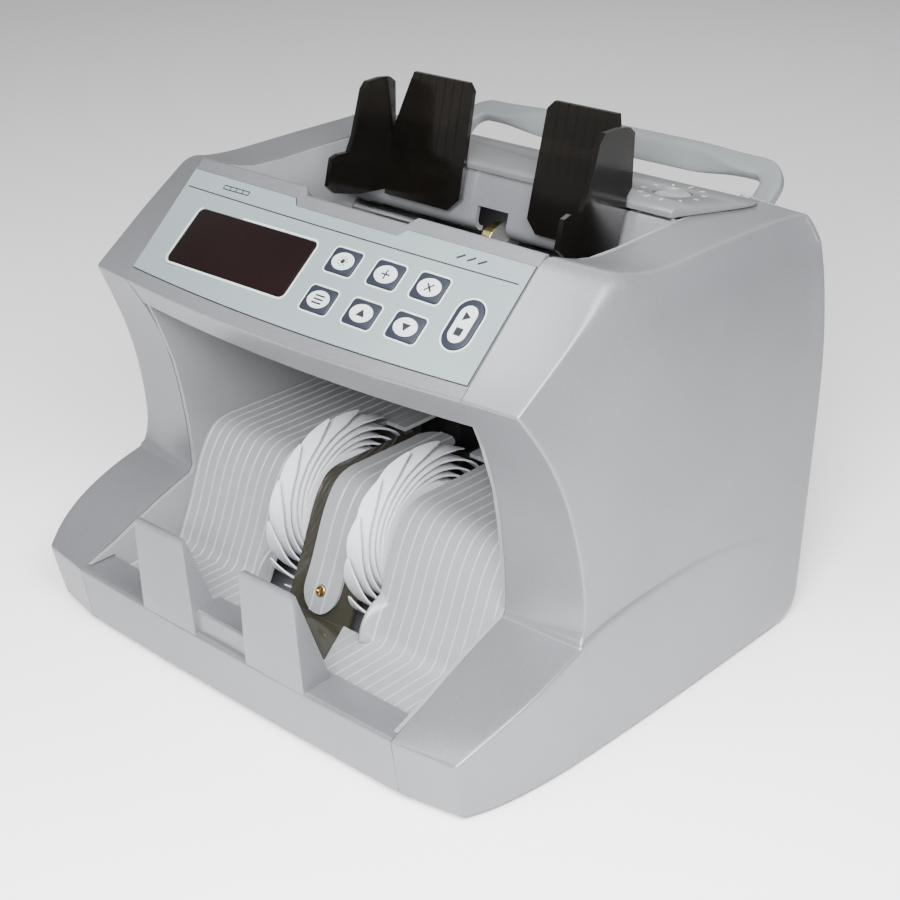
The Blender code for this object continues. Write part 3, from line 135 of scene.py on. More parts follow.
class Build:
    """Small helper for node-based materials in object coordinates."""

    def __init__(self, name):
        self.mat = bpy.data.materials.new(name)
        self.mat.use_nodes = True
        self.tree = self.mat.node_tree
        self.shader = self.tree.nodes["Principled BSDF"]
        self.place = self.tree.nodes.new("ShaderNodeTexCoord").outputs["Object"]

    def set(self, **values):
        for key, value in values.items():
            self.shader.inputs[key.replace("_", " ")].default_value = value
        return self

    def node(self, kind, inputs=None, **attributes):
        made = self.tree.nodes.new(kind)
        for key, value in attributes.items():
            setattr(made, key, value)
        for key, value in (inputs or {}).items():
            if isinstance(value, bpy.types.NodeSocket):
                self.tree.links.new(value, made.inputs[key])
            else:
                made.inputs[key].default_value = value
        return made

    def noise(self, scale, detail=3.0, rough=0.55, stretch=None):
        place = self.place
        if stretch:
            place = self.node("ShaderNodeMapping", {"Vector": place, "Scale": stretch}).outputs["Vector"]
        made = self.node("ShaderNodeTexNoise", {"Vector": place, "Scale": scale, "Detail": detail,
                                                 "Roughness": rough})
        return made.outputs["Fac"]

    def ramp(self, value, *stops):
        made = self.node("ShaderNodeValToRGB", {"Fac": value})
        elements = made.color_ramp.elements
        while len(elements) < len(stops):
            elements.new(0.5)
        for element, (at, colour) in zip(elements, stops):
            element.position = at
            element.color = (*colour, 1.0)
        return made.outputs["Color"]

    def span(self, value, low, high):
        made = self.node("ShaderNodeMapRange", {"Value": value, "To Min": low, "To Max": high})
        return made.outputs["Result"]

    def mottled(self, dark, light, grain=2600.0):
        """A broad mottling with a fine grain over it."""
        return self.mix(0.35, self.ramp(self.noise(14.0, 2.0), (0.3, dark), (0.7, light)),
                        self.ramp(self.noise(grain, 1.0), (0.35, dark), (0.65, light)))

    def mix(self, share, a, b):
        made = self.node("ShaderNodeMix", data_type="RGBA")
        for socket, value in ((made.inputs[0], share), (made.inputs[6], a), (made.inputs[7], b)):
            if isinstance(value, bpy.types.NodeSocket):
                self.tree.links.new(value, socket)
            else:
                socket.default_value = value if isinstance(value, float) else (*value, 1.0)
        return made.outputs[2]

    def link(self, socket, value):
        self.tree.links.new(value, self.shader.inputs[socket])
        return self

    def bump(self, height, strength, distance):
        made = self.node("ShaderNodeBump", {"Height": height, "Strength": strength, "Distance": distance})
        return self.link("Normal", made.outputs["Normal"])


def moulded(name, dark, light, rough=(0.34, 0.46), metallic=0.0, grain=2600.0, bump=0.12, coat=0.0,
            gloss=0.5):
    """Moulded plastic: faint mottling, a fine grain in colour and relief, and slightly uneven gloss."""
    b = Build(name).set(Metallic=metallic, Coat_Weight=coat, Coat_Roughness=0.25, Specular_IOR_Level=gloss)
    b.link("Base Color", b.mottled(dark, light, grain))
    b.link("Roughness", b.span(b.noise(90.0, 3.0), *rough))
    b.bump(b.noise(grain * 0.55, 2.0), bump, 0.0002)
    return b.mat


def pearl(name, dark, light, metallic=0.45):
    """Silver-grey paint with fine reflective flakes over moulded plastic."""
    b = Build(name).set(Metallic=metallic, Coat_Weight=0.12, Coat_Roughness=0.3)
    flakes = b.node("ShaderNodeTexVoronoi", {"Vector": b.place, "Scale": 2400.0}).outputs["Color"]
    flake = b.node("ShaderNodeSeparateColor", {"Color": flakes}).outputs["Red"]
    broad = b.ramp(b.noise(11.0, 3.0), (0.3, dark), (0.7, light))
    spark = b.ramp(flake, (0.0, tuple(c * 0.93 for c in dark)), (1.0, tuple(c * 1.06 for c in light)))
    b.link("Base Color", b.mix(0.4, broad, spark))
    b.link("Roughness", b.span(flake, 0.30, 0.42))
    b.bump(b.noise(1500.0, 2.0), 0.10, 0.0002)
    return b.mat


def ribbed(name, dark, light, line, first, pitch):
    """Moulded sheet whose raised ribs, at even steps across x on both sides, get a brighter colour: a painted
    highlight along each rib crest.
    """
    b = Build(name).set(Coat_Weight=0.15, Coat_Roughness=0.25)
    # mask of the rib crests; there the brighter colour is mixed in as a painted highlight
    x = b.node("ShaderNodeSeparateXYZ", {"Vector": b.place}).outputs["X"]
    away = b.node("ShaderNodeMath", {0: x}, operation="ABSOLUTE").outputs[0]
    for operation, amount in (("SUBTRACT", first), ("PINGPONG", pitch / 2), ("LESS_THAN", RIB_HIGHLIGHT_HALF)):
        away = b.node("ShaderNodeMath", {0: away, 1: amount * MM}, operation=operation).outputs[0]
    b.link("Base Color", b.mix(away, b.mottled(dark, light), line))
    b.link("Roughness", b.span(b.noise(90.0, 3.0), 0.35, 0.48))
    b.bump(b.noise(1430.0, 2.0), 0.12, 0.0002)
    return b.mat


def smoke(name, dark, light):
    """Smoky brown translucent plastic with faint flow marks."""
    b = Build(name).set(IOR=1.49, Transmission_Weight=0.85, Coat_Weight=0.05, Coat_Roughness=0.1)
    b.link("Base Color", b.ramp(b.noise(18.0, 2.0), (0.3, dark), (0.7, light)))
    b.link("Roughness", b.span(b.noise(240.0, 3.0), 0.10, 0.18))
    b.bump(b.noise(900.0, 2.0), 0.02, 0.0001)
    return b.mat


def metal(name, dark, light, rough, stretch):
    b = Build(name).set(Metallic=1.0)
    lines = b.noise(60.0, 4.0, 0.7, stretch)
    b.link("Base Color", b.ramp(lines, (0.3, dark), (0.7, light)))
    b.link("Roughness", b.span(lines, *rough))
    b.bump(lines, 0.05, 0.0002)
    return b.mat


def rubber(name, tone=0.03):
    b = Build(name)
    grain = b.noise(900.0, 4.0, 0.7)
    b.link("Base Color", b.ramp(grain, (0.3, (tone * 0.7,) * 3), (0.7, (tone * 1.6,) * 3)))
    b.link("Roughness", b.span(grain, 0.65, 0.9))
    b.bump(grain, 0.25, 0.0003)
    return b.mat


def board(name):
    """Solder-masked board with faint tracks under the lacquer."""
    b = Build(name).set(Coat_Weight=0.3, Coat_Roughness=0.2)
    tracks = b.node("ShaderNodeTexBrick", {"Vector": b.place, "Scale": 160.0, "Mortar Size": 0.12,
                                            "Color1": (0.01, 0.11, 0.05, 1), "Color2": (0.01, 0.09, 0.045, 1),
                                            "Mortar": (0.03, 0.22, 0.09, 1)}).outputs["Color"]
    b.link("Base Color", tracks)
    b.link("Roughness", b.span(b.noise(300.0), 0.35, 0.5))
    return b.mat


RIB_PITCH = 5.65
RIB_FIRST = 37.2
# half width, in mm, of the painted highlight on each rib crest
RIB_HIGHLIGHT_HALF = 0.24
BAND_RIB = 3.4
BAND_PITCH = 20.0          # wide enough to leave the band only its one rib on each side
# dark and light sheet tones, then the brighter colour of the painted highlight on the rib crests
SHEET_TONES_AND_RIB_HIGHLIGHT = ((0.165, 0.172, 0.18), (0.21, 0.217, 0.227), (0.31, 0.325, 0.335))
MAT = {
    "housing": pearl("pearl_grey", (0.135, 0.138, 0.148), (0.175, 0.178, 0.19)),
    "handle": moulded("handle_grey", (0.095, 0.104, 0.108), (0.125, 0.134, 0.138), (0.38, 0.5), grain=2200.0,
                      coat=0.1),
    "top": pearl("cover_grey", (0.10, 0.103, 0.106), (0.13, 0.133, 0.136), 0.2),
    "plate": ribbed("plate_grey", *SHEET_TONES_AND_RIB_HIGHLIGHT, RIB_FIRST, RIB_PITCH),
    "band": ribbed("band_grey", *SHEET_TONES_AND_RIB_HIGHLIGHT, BAND_RIB, BAND_PITCH),
    "tray": moulded("tray_grey", (0.15, 0.155, 0.16), (0.19, 0.195, 0.20), (0.35, 0.48), coat=0.15),
    "wall": moulded("wall_grey", (0.15, 0.155, 0.162), (0.19, 0.195, 0.202)),
    "blade": moulded("blade_grey", (0.50, 0.51, 0.54), (0.60, 0.61, 0.64), (0.22, 0.34), coat=0.3),
    "black": moulded("cavity_black", (0.012, 0.012, 0.013), (0.022, 0.022, 0.023), (0.5, 0.65)),
    "overlay": moulded("membrane_green", (0.135, 0.166, 0.172), (0.16, 0.192, 0.198), (0.34, 0.42),
                       grain=3600.0, bump=0.06, gloss=0.3),
    "key": moulded("key_slate", (0.010, 0.012, 0.018), (0.015, 0.018, 0.026), (0.36, 0.46), bump=0.06,
                   gloss=0.25),
    "print_white": moulded("print_white", (0.34, 0.375, 0.38), (0.40, 0.435, 0.44), (0.4, 0.5), bump=0.03),
    # dark print colour, also used for the painted shadow round the membrane
    "print_and_shadow_dark": moulded("print_and_shadow_dark", (0.010, 0.011, 0.013), (0.018, 0.019, 0.022), (0.5, 0.6), bump=0.03,
                          gloss=0.15),
    "window": moulded("window_black", (0.004, 0.002, 0.002), (0.008, 0.004, 0.004), (0.22, 0.3), bump=0.01,
                      gloss=0.12),
    "smoke": smoke("smoky_brown", (0.008, 0.0065, 0.005), (0.016, 0.013, 0.010)),
    "guard": smoke("smoky_clear", (0.105, 0.098, 0.070), (0.16, 0.15, 0.11)),
    "brass": metal("brass", (0.66, 0.45, 0.15), (0.86, 0.66, 0.30), (0.18, 0.32), (1.0, 6.0, 6.0)),
    "collar": metal("olive_brass", (0.34, 0.29, 0.11), (0.52, 0.44, 0.19), (0.26, 0.4), (1.0, 6.0, 6.0)),
    "steel": metal("steel", (0.42, 0.42, 0.43), (0.62, 0.62, 0.63), (0.22, 0.38), (0.4, 9.0, 9.0)),
    "rubber": rubber("black_rubber"),
    "board": board("circuit_board"),
}


# ------------------------------------------------------------------ mesh helpers


def raw(name, verts, faces, merge=1e-6):
    """An object from vertices in machine millimetres; points closer than merge, in metres, become one."""
    mesh = bpy.data.meshes.new(name)
    mesh.from_pydata([pt(*v) for v in verts], [], faces)
    bm = bmesh.new()
    bm.from_mesh(mesh)
    bmesh.ops.remove_doubles(bm, verts=bm.verts, dist=merge)
    bmesh.ops.dissolve_degenerate(bm, dist=1e-7, edges=bm.edges)
    bmesh.ops.recalc_face_normals(bm, faces=bm.faces)
    if bm.calc_volume(signed=True) < 0:
        bmesh.ops.reverse_faces(bm, faces=bm.faces)
    bm.to_mesh(mesh)
    bm.free()
    return add_object(name, mesh)


def modified(obj, kind, **settings):
    """Adds one modifier and makes its result the object's own mesh."""
    mod = obj.modifiers.new(kind.lower(), kind)
    for key, value in settings.items():
        setattr(mod, key, value)
    bpy.context.view_layer.update()
    graph = bpy.context.evaluated_depsgraph_get()
    mesh = bpy.data.meshes.new_from_object(obj.evaluated_get(graph))
    obj.modifiers.clear()
    obj.data = mesh
    return obj


def combine(obj, operation, others):
    for other in others:
        modified(obj, "BOOLEAN", operation=operation, solver="EXACT", object=other)
        bpy.data.objects.remove(other, do_unlink=True)
    return obj


def cut(obj, *tools):
    return combine(obj, "DIFFERENCE", tools)


def join(obj, *others):
    return combine(obj, "UNION", others)


def bevel(obj, width, segments=3, angle=35.0):
    return modified(obj, "BEVEL", width=width * MM, segments=segments, limit_method="ANGLE",
                    angle_limit=math.radians(angle))


def round_off(obj, levels=2):
    return modified(obj, "SUBSURF", levels=levels, render_levels=levels)


def finish(obj, mat, body, slot, *replaced, crease=32.0):
    """Shades, paints and hangs a finished piece on its body."""
    mesh = obj.data
    mesh.materials.clear()
    mesh.materials.append(MAT[mat])
    for polygon in mesh.polygons:
        polygon.material_index = 0
        polygon.use_smooth = True
    mesh.set_sharp_from_angle(angle=math.radians(crease))
    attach(obj, body)
    if replaced:
        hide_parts(*replaced)
    return obj


def box(name, x, y, z):
    verts = [(a, b, c) for c in z for b in y for a in x]
    faces = [(0, 2, 3, 1), (4, 5, 7, 6), (0, 1, 5, 4), (2, 6, 7, 3), (0, 4, 6, 2), (1, 3, 7, 5)]
    return raw(name, verts, faces)


def slab(name, near, far):
    """A solid between two matching outlines."""
    n = len(near)
    faces = [tuple(range(n)), tuple(range(2 * n - 1, n - 1, -1))]
    faces += [(i, (i + 1) % n, n + (i + 1) % n, n + i) for i in range(n)]
    return raw(name, near + far, faces)


def loft(name, loops):
    """A solid through a row of loops with the same number of points."""
    n, last = len(loops[0]), len(loops[0]) * (len(loops) - 1)
    faces = []
    for start in range(0, last, n):
        for i in range(n):
            a, b = start + i, start + (i + 1) % n
            faces.append((a, b, b + n, a + n))
    faces += [tuple(range(n)), tuple(last + i for i in range(n - 1, -1, -1))]
    return raw(name, [p for loop in loops for p in loop], faces)


def prism(name, outline, low, high, axis="x"):
    place = {
        "x": lambda p, h: (h, p[0], p[1]),
        "y": lambda p, h: (p[0], h, p[1]),
        "z": lambda p, h: (p[0], p[1], h),
    }[axis]
    return slab(name, *[[place(p, h) for p in outline] for h in (low, high)])


def arc(centre, radius, start, sweep, count=24):
    """Points along an arc; its start and sweep are in degrees."""
    turns = [math.radians(start + sweep * i / count) for i in range(count + 1)]
    return [(centre[0] + radius * math.cos(a), centre[1] + radius * math.sin(a)) for a in turns]


def circle(radius, centre=(0.0, 0.0), count=48):
    return arc(centre, radius, 0.0, 360.0, count)[:-1]


def rounded(width, height, radius, count=6):
    out = []
    for sx, sy, start in ((1, 1, 0.0), (-1, 1, 90.0), (-1, -1, 180.0), (1, -1, 270.0)):
        out += arc((sx * (width / 2 - radius), sy * (height / 2 - radius)), radius, start, 90.0, count)
    return out


def running(points):
    """The length along a line of points, from its start to each of them."""
    run = [0.0]
    for a, b in zip(points, points[1:]):
        run.append(run[-1] + (b - a).length)
    return run


def dense_curve(points):
    """A smooth curve through the points as (running length, point) pairs."""
    pts = [Vector(p) for p in points]
    dense = []
    for i in range(len(pts) - 1):
        a, b = pts[i], pts[i + 1]
        before = pts[i - 1] if i > 0 else a * 2 - b
        after = pts[i + 2] if i + 2 < len(pts) else b * 2 - a
        for k in range(16):
            t = k / 16
            dense.append(0.5 * (2 * a + (b - before) * t + (2 * before - 5 * a + 4 * b - after) * t * t
                                + (3 * a - before - 3 * b + after) * t * t * t))
    dense.append(pts[-1])
    return running(dense), dense


def sample_at(points, shares):
    """Points of a smooth curve at the given shares of its length."""
    run, dense = dense_curve(points)
    out = []
    for share in shares:
        want = run[-1] * share
        k = 0
        while k < len(run) - 2 and run[k + 1] < want:
            k += 1
        span = run[k + 1] - run[k]
        out.append(dense[k].lerp(dense[k + 1], (want - run[k]) / span if span else 0.0))
    return out


def length_of(points):
    return dense_curve(points)[0][-1]


def shares(count, length, near, far=None):
    """Even shares of a length, with one more close to each end to hold the edge there."""
    far = near if far is None else far
    a, b = near / length, 1 - far / length
    middle = [a + (b - a) * i / count for i in range(count + 1)]
    return [0.0] + middle + [1.0]


def fillet(path, radii, count=4):
    """Rounds the corners of an open path of 2D points; every corner gets the same number of points."""
    out = [Vector(path[0])]
    for i in range(1, len(path) - 1):
        p, a, b = Vector(path[i]), Vector(path[i - 1]), Vector(path[i + 1])
        r = radii[i]
        if r <= 0:
            out.append(p)
            continue
        u, v = (a - p).normalized(), (b - p).normalized()
        reach = min(r, 0.45 * (a - p).length, 0.45 * (b - p).length)
        s, e = p + u * reach, p + v * reach
        for k in range(count + 1):
            t = k / count
            out.append(s * (1 - t) ** 2 + p * 2 * t * (1 - t) + e * t * t)
    out.append(Vector(path[-1]))
    return out


def offset_path(path, distance):
    """A 2D path moved to the right of its direction."""
    out = []
    for i, p in enumerate(path):
        p = Vector(p)
        a = Vector(path[max(i - 1, 0)])
        b = Vector(path[min(i + 1, len(path) - 1)])
        d1 = (p - a).normalized() if i > 0 else (b - p).normalized()
        d2 = (b - p).normalized() if i < len(path) - 1 else d1
        n1, n2 = Vector((d1.y, -d1.x)), Vector((d2.y, -d2.x))
        n = (n1 + n2).normalized()
        out.append(p + n * (distance / max(n.dot(n1), 0.5)))
    return out


def add_grid(verts, faces, grid):
    base, cols = len(verts), len(grid[0])
    for row in grid:
        verts += [tuple(p) for p in row]
    for j in range(len(grid) - 1):
        for i in range(cols - 1):
            a = base + j * cols + i
            faces.append((a, a + 1, a + cols + 1, a + cols))


def shell_of(name, outer, inner):
    """A closed wall between two grids of the same size, joined all round their edges."""
    verts, faces = [], []
    add_grid(verts, faces, outer)
    add_grid(verts, faces, inner)
    for a, b in ((outer[0], inner[0]), (outer[-1], inner[-1])):
        add_grid(verts, faces, [a, b])
    for k in (0, -1):
        add_grid(verts, faces, [[row[k] for row in outer], [row[k] for row in inner]])
    return raw(name, verts, faces)


# ------------------------------------------------------------------ side covers

SEAM_X = 98.5
GAP = 0.3
SHELL = 2.4
COVER_WALL = 2.1
REAR_Y = 215.5
PANEL_LOW = (30.2, 157.5)
PANEL_TOP = (78.7, 201.7)
FACE_OUT = [(127.4, 0.0, 0.0), (127.7, -2.9, 13.0), (127.9, -5.6, 26.6)]
FACE_IN = [(SEAM_X, -5.8, 0.0), (SEAM_X, -7.9, 13.0), (SEAM_X, -9.9, 26.9)]
SHOULDER_OUT = [(127.9, -5.6, 26.6), (131.0, 0.9, 31.6), (134.6, 12.0, 37.7), (137.0, 24.3, 42.8),
                (138.2, 37.0, 47.1), (138.3, 47.5, 50.4), (137.9, 58.3, 53.2)]
SHOULDER_IN = [(SEAM_X, -9.9, 26.9), (SEAM_X, -1.6, 30.5), (SEAM_X, 10.1, 34.8), (SEAM_X, 21.6, 39.8),
               (SEAM_X, 33.5, 44.6), (SEAM_X, 46.3, 49.2), (SEAM_X, 56.6, 52.6)]
CREASE = [(137.9, 58.3, 53.2), (139.0, 75.7, 57.3), (140.3, 97.1, 59.7), (141.5, 119.8, 60.9),
          (142.4, 137.6, 60.5), (143.3, 156.5, 58.2), (144.1, 176.5, 54.0), (144.6, 191.1, 46.9),
          (145.1, 202.3, 37.5), (145.5, 215.5, 23.0)]
STEP = 1.3
STEP_RISE = 2.2
WING_OUT = [(136.5, 61.6, 56.0), (135.8, 62.8, 64.7), (134.7, 61.3, 83.5), (133.1, 57.5, 102.6),
            (131.4, 51.9, 120.9), (128.6, 43.5, 139.5), (123.2, 33.2, 157.2)]
WING_IN = [(SEAM_X, 58.2, 55.2), (SEAM_X, 58.3, 63.5), (SEAM_X, 57.0, 80.0), (SEAM_X, 54.6, 96.7),
           (SEAM_X, 51.3, 112.8), (SEAM_X, 43.6, 134.4), (SEAM_X, 30.2, 157.5)]
PANEL_OUT = [(123.2, 33.2, 157.2), (124.1, 61.9, 176.8), (125.0, 90.6, 196.4)]
PANEL_IN = [(SEAM_X, *PANEL_LOW), (SEAM_X, 54.5, 179.6), (SEAM_X, *PANEL_TOP)]
BAND_OUT = [(125.0, 90.6, 196.4), (125.3, 99.8, 194.1), (126.1, 117.7, 192.2), (126.5, 144.6, 192.5),
            (127.1, 173.2, 192.8), (128.4, 200.0, 192.6), (131.0, 213.6, 192.2)]
BAND_IN = [(SEAM_X, *PANEL_TOP), (SEAM_X, 92.0, 196.5), (SEAM_X, 108.7, 192.6), (SEAM_X, 126.0, 192.2),
           (SEAM_X, 150.0, 193.0), (SEAM_X, 180.0, 193.4), (SEAM_X, 213.6, 193.4)]
REAR_OUT = [(131.0, 213.6, 192.2), (137.0, 215.0, 188.5), (140.2, 215.4, 182.0), (142.2, REAR_Y, 170.0),
            (144.8, REAR_Y, 150.0), (146.3, REAR_Y, 131.0), (146.4, REAR_Y, 100.0), (145.9, REAR_Y, 55.0),
            (145.5, REAR_Y, 25.0)]
REAR_IN = [(SEAM_X, 213.6, 193.4), (SEAM_X, REAR_Y, 190.0), (SEAM_X, REAR_Y, 25.0)]
HEEL_OUT = [(145.5, REAR_Y, 25.0), (145.3, 215.3, 8.0), (144.6, 212.6, 2.4), (143.6, 208.0, 0.0)]
HEEL_IN = [(SEAM_X, REAR_Y, 25.0), (SEAM_X, 215.3, 8.0), (SEAM_X, 212.6, 2.4), (SEAM_X, 208.0, 0.0)]
BASE_EDGE = [(127.4, 0.0, 0.0), (133.1, 15.3, 0.0), (138.0, 45.6, 0.0), (140.6, 89.8, 0.0),
             (142.2, 140.5, 0.0), (143.2, 185.0, 0.0), (143.6, 208.0, 0.0)]


def coons(bottom, top, left, right, v_of):
    """Grid that fills four boundary curves; v_of(row, column) is the share of the way from bottom to top."""
    run = running(bottom)
    grid = []
    for j in range(len(left)):
        row = []
        for i in range(len(bottom)):
            u = run[i] / run[-1]
            v = v_of(j, i)
            fixed = v_of(j, 0)
            side_l = left[j] + (top[0] - bottom[0]) * (v - fixed)
            side_r = right[j] + (top[-1] - bottom[-1]) * (v - fixed)
            ruled = bottom[i] * (1 - v) + top[i] * v + side_l * (1 - u) + side_r * u
            corners = (bottom[0] * (1 - u) * (1 - v) + bottom[-1] * u * (1 - v)
                       + top[0] * (1 - u) * v + top[-1] * u * v)
            row.append(ruled - corners)
        grid.append(row)
    return grid


def strip_rows(inner, outer, near, far):
    """Rows from an inner to an outer curve; the last row keeps the distance far from the outer edge."""
    if isinstance(far, float):
        far = [far] * len(inner)
    rows = [list(inner)]
    for k in (0, 1, 2, 3):
        row = []
        for i, (a, b) in enumerate(zip(inner, outer)):
            width = (b - a).length
            lo = near / width
            hi = 1 - min(far[i] / width, 0.45)
            t = lo + (hi - lo) * (k / 3)
            row.append(a.lerp(b, t))
        rows.append(row)
    rows.append(list(outer))
    return rows


def side_cover(name, side, node):
    """The moulded side with rounded creases: the crease between panel and flank fades out towards the top."""
    hold, rear_hold = 1.7, 3.5
    t_face = shares(3, length_of(FACE_OUT), hold)
    t_shoulder = shares(8, length_of(SHOULDER_OUT), hold)
    t_panel = shares(7, length_of(PANEL_OUT), hold, 9.0)
    t_band = shares(12, length_of(BAND_OUT), 9.0, 5.0)
    t_wing = shares(10, length_of(WING_OUT), hold)
    t_heel = shares(3, length_of(HEEL_OUT), 3.0, hold)
    n_panel = len(t_panel) - 1
    top = sample_at(PANEL_OUT, t_panel) + sample_at(BAND_OUT, t_band)[1:]
    run = running(top)
    even = [r / run[-1] for r in run]
    t_crease = [0.5 * e + 0.5 * i / (len(even) - 1) for i, e in enumerate(even)]
    t_crease[1] = min(hold / length_of(CREASE), t_crease[1])
    crease_low = sample_at(CREASE, t_crease)
    crease_high = []
    for t, p in zip(t_crease, crease_low):
        crease_high.append(Vector((p.x - STEP * (1 - t), p.y, p.z + STEP_RISE)))
    wing_path = [tuple(crease_high[0])] + WING_OUT
    wing_out = sample_at(wing_path, t_wing)
    crease_high[0] = wing_out[0]
    rear_out = sample_at(REAR_OUT, t_wing)
    rear_out[-1] = crease_high[-1]
    heel_out = sample_at([tuple(crease_low[-1])] + HEEL_OUT[1:], t_heel)
    shoulder_out = sample_at(SHOULDER_OUT, t_shoulder)
    face_out = sample_at(FACE_OUT, t_face)
    panel_out, band_out = sample_at(PANEL_OUT, t_panel), sample_at(BAND_OUT, t_band)
    verts, faces = [], []

    low_top = shoulder_out + crease_low[1:]
    total = running(low_top)
    low_bottom = sample_at(BASE_EDGE, [t / total[-1] for t in total])
    add_grid(verts, faces, coons(low_bottom, low_top, face_out, heel_out[::-1], lambda j, i: t_face[j]))
    add_grid(verts, faces, [crease_low, crease_high])

    fade = []
    for i in range(len(top)):
        if i <= n_panel:
            t = t_panel[i]
            fade.append(hold + 9.5 * max(0.0, (t - 0.45) / 0.55) ** 1.5)
        else:
            t = t_band[i - n_panel]
            fade.append(3.4 + 7.5 * max(0.0, 1 - t / 0.22) ** 1.5)
    heights = [(a - b).length for a, b in zip(top, crease_high)]

    def row_share(j, i):
        if j == len(t_wing) - 2:
            return 1 - fade[i] / heights[i]
        if j == len(t_wing) - 3:
            return min(t_wing[j], 1 - 1.9 * fade[i] / heights[i])
        return t_wing[j]

    add_grid(verts, faces, coons(crease_high, top, wing_out, rear_out[::-1], row_share))
    knee_in = Vector(SHOULDER_IN[-1])
    wing_in = sample_at([(SEAM_X, 57.6, 54.0)] + WING_IN, t_wing)
    sides = (
        (sample_at(FACE_IN, t_face), face_out, hold),
        (sample_at(SHOULDER_IN, t_shoulder), shoulder_out, hold),
        ([knee_in, wing_in[0]], [shoulder_out[-1], crease_high[0]], hold),
        (wing_in, wing_out, hold),
        (sample_at(PANEL_IN, t_panel), panel_out, fade[: n_panel + 1]),
        (sample_at(BAND_IN, t_band), band_out, fade[n_panel:]),
        (sample_at(REAR_IN, t_wing), rear_out, rear_hold),
        ([Vector(REAR_IN[-1]), Vector(HEEL_IN[0])], [crease_high[-1], crease_low[-1]], rear_hold),
        (sample_at(HEEL_IN, t_heel), heel_out, rear_hold),
    )
    for inner, outer, far in sides:
        add_grid(verts, faces, strip_rows(inner, outer, 1.2, far))
    verts = [(side * x, y, z) for x, y, z in verts]
    obj = raw(name, verts, faces, merge=2e-5)
    facing = sum(p.area * p.normal.x * side for p in obj.data.polygons)
    if facing < 0:
        obj.data.flip_normals()
    round_off(obj)
    modified(obj, "SOLIDIFY", thickness=COVER_WALL * MM, offset=-1.0)
    bevel(obj, 0.25, 2, 60.0)
    return finish(obj, "housing", STATIC, "housing", node)


for label, hand in SIDES:
    side_cover(f"cover_{label}", hand, f"side_cover_{label}")


# ------------------------------------------------------------------ console

PANEL_BOW = 6.5
NOTCH_HALF = 29.5
NOTCH_RUN = 3.0
NOTCH_DEPTH = 3.8
OVERLAY = (0.10, 0.905)
OVERLAY_LIFT = (0.3, 0.75)
PRINT_LIFT = (OVERLAY_LIFT[1] - 0.1, OVERLAY_LIFT[1] + 0.05)
OUTLINE_LIFT = (OVERLAY_LIFT[1] - 0.1, OVERLAY_LIFT[1] + 0.06)
THROUGH = (-6.0, 6.0)
KEY_DEPTH = 3.2
WINDOW_DEPTH = 2.6
RULE_AT = (-95.6, 95.0, 0.77)
RULE_WIDTH = 0.55
MARK_V = 0.838
KEY_SIZE = (14.7, 11.4)
KEY_RADIUS = 1.6
START_SIZE = (12.6, 22.0)
START_RADIUS = 6.2
WINDOW = (-42.2, 0.457, 74.6, 28.0)
KEYS = {
    "key_test": (12.7, 0.597), "key_add": (36.2, 0.597), "key_multi": (58.9, 0.597),
    "key_batch": (13.2, 0.326), "key_up": (36.7, 0.326), "key_down": (59.4, 0.326),
    "key_start": (82.3, 0.440),
}
SLOPE_LENGTH = math.hypot(PANEL_TOP[0] - PANEL_LOW[0], PANEL_TOP[1] - PANEL_LOW[1])
CONSOLE_HALF = SEAM_X - GAP


def bow(x):
    """How far the lower edge of the panel swells forward at x."""
    return PANEL_BOW * (1 - (x / SEAM_X) ** 2)


def panel_point(x, v, lift=0.0):
    """A point of the bowed panel: v runs from 0 at its lower edge to 1 at its top."""
    def at(px, pv):
        y0 = PANEL_LOW[0] - bow(px)
        return Vector((px, y0 + (PANEL_TOP[0] - y0) * pv, PANEL_LOW[1] + (PANEL_TOP[1] - PANEL_LOW[1]) * pv))
    du = at(x + 0.5, v) - at(x - 0.5, v)
    dv = at(x, v + 0.01) - at(x, v - 0.01)
    return at(x, v) + du.cross(dv).normalized() * lift


def panel_frame(x, v):
    """The panel's own axes at a point: across, up the slope, and outwards."""
    p = panel_point(x, v)
    up = (panel_point(x, v + 0.01) - panel_point(x, v - 0.01)).normalized()
    across = (panel_point(x + 0.5, v) - panel_point(x - 0.5, v)).normalized()
    normal = across.cross(up).normalized()
    across = up.cross(normal).normalized()
    return Matrix((
        (across.x, up.x, normal.x, p.x),
        (across.y, up.y, normal.y, p.y),
        (across.z, up.z, normal.z, p.z),
        (0.0, 0.0, 0.0, 1.0),
    ))


def panel_prism(name, outline, place, low, high):
    return slab(name, *[[tuple(place @ Vector((x, y, h))) for x, y in outline] for h in (low, high)])


def panel_ring(name, outer, inner, place):
    """A flat pale ring printed between two outlines with the same number of points."""
    n = len(outer)
    lines = [(line, h) for h in OUTLINE_LIFT for line in (outer, inner)]
    verts = [tuple(place @ Vector((x, y, h))) for line, h in lines for x, y in line]
    faces = []
    for i in range(n):
        k = (i + 1) % n
        faces += [(i, k, n + k, n + i), (2 * n + i, 3 * n + i, 3 * n + k, 2 * n + k),
                  (i, 2 * n + i, 2 * n + k, k), (n + i, n + k, 3 * n + k, 3 * n + i)]
    finish(raw(name, verts, faces), "print_white", STATIC, "overlay")


def notch_drop(x):
    """How far the panel's top edge drops in the wide notch at its middle."""
    beyond = (abs(x) - NOTCH_HALF) / NOTCH_RUN
    return NOTCH_DEPTH * min(max(1 - beyond, 0.0), 1.0)


def console_columns(half, count=14):
    marks = [NOTCH_HALF - 0.4, NOTCH_HALF, NOTCH_HALF + NOTCH_RUN, NOTCH_HALF + NOTCH_RUN + 0.4]
    xs = [half * i / count for i in range(count + 1)]
    xs = [x for x in xs if all(abs(x - m) > 1.5 for m in marks)] + marks
    return sorted({-x for x in xs} | set(xs))


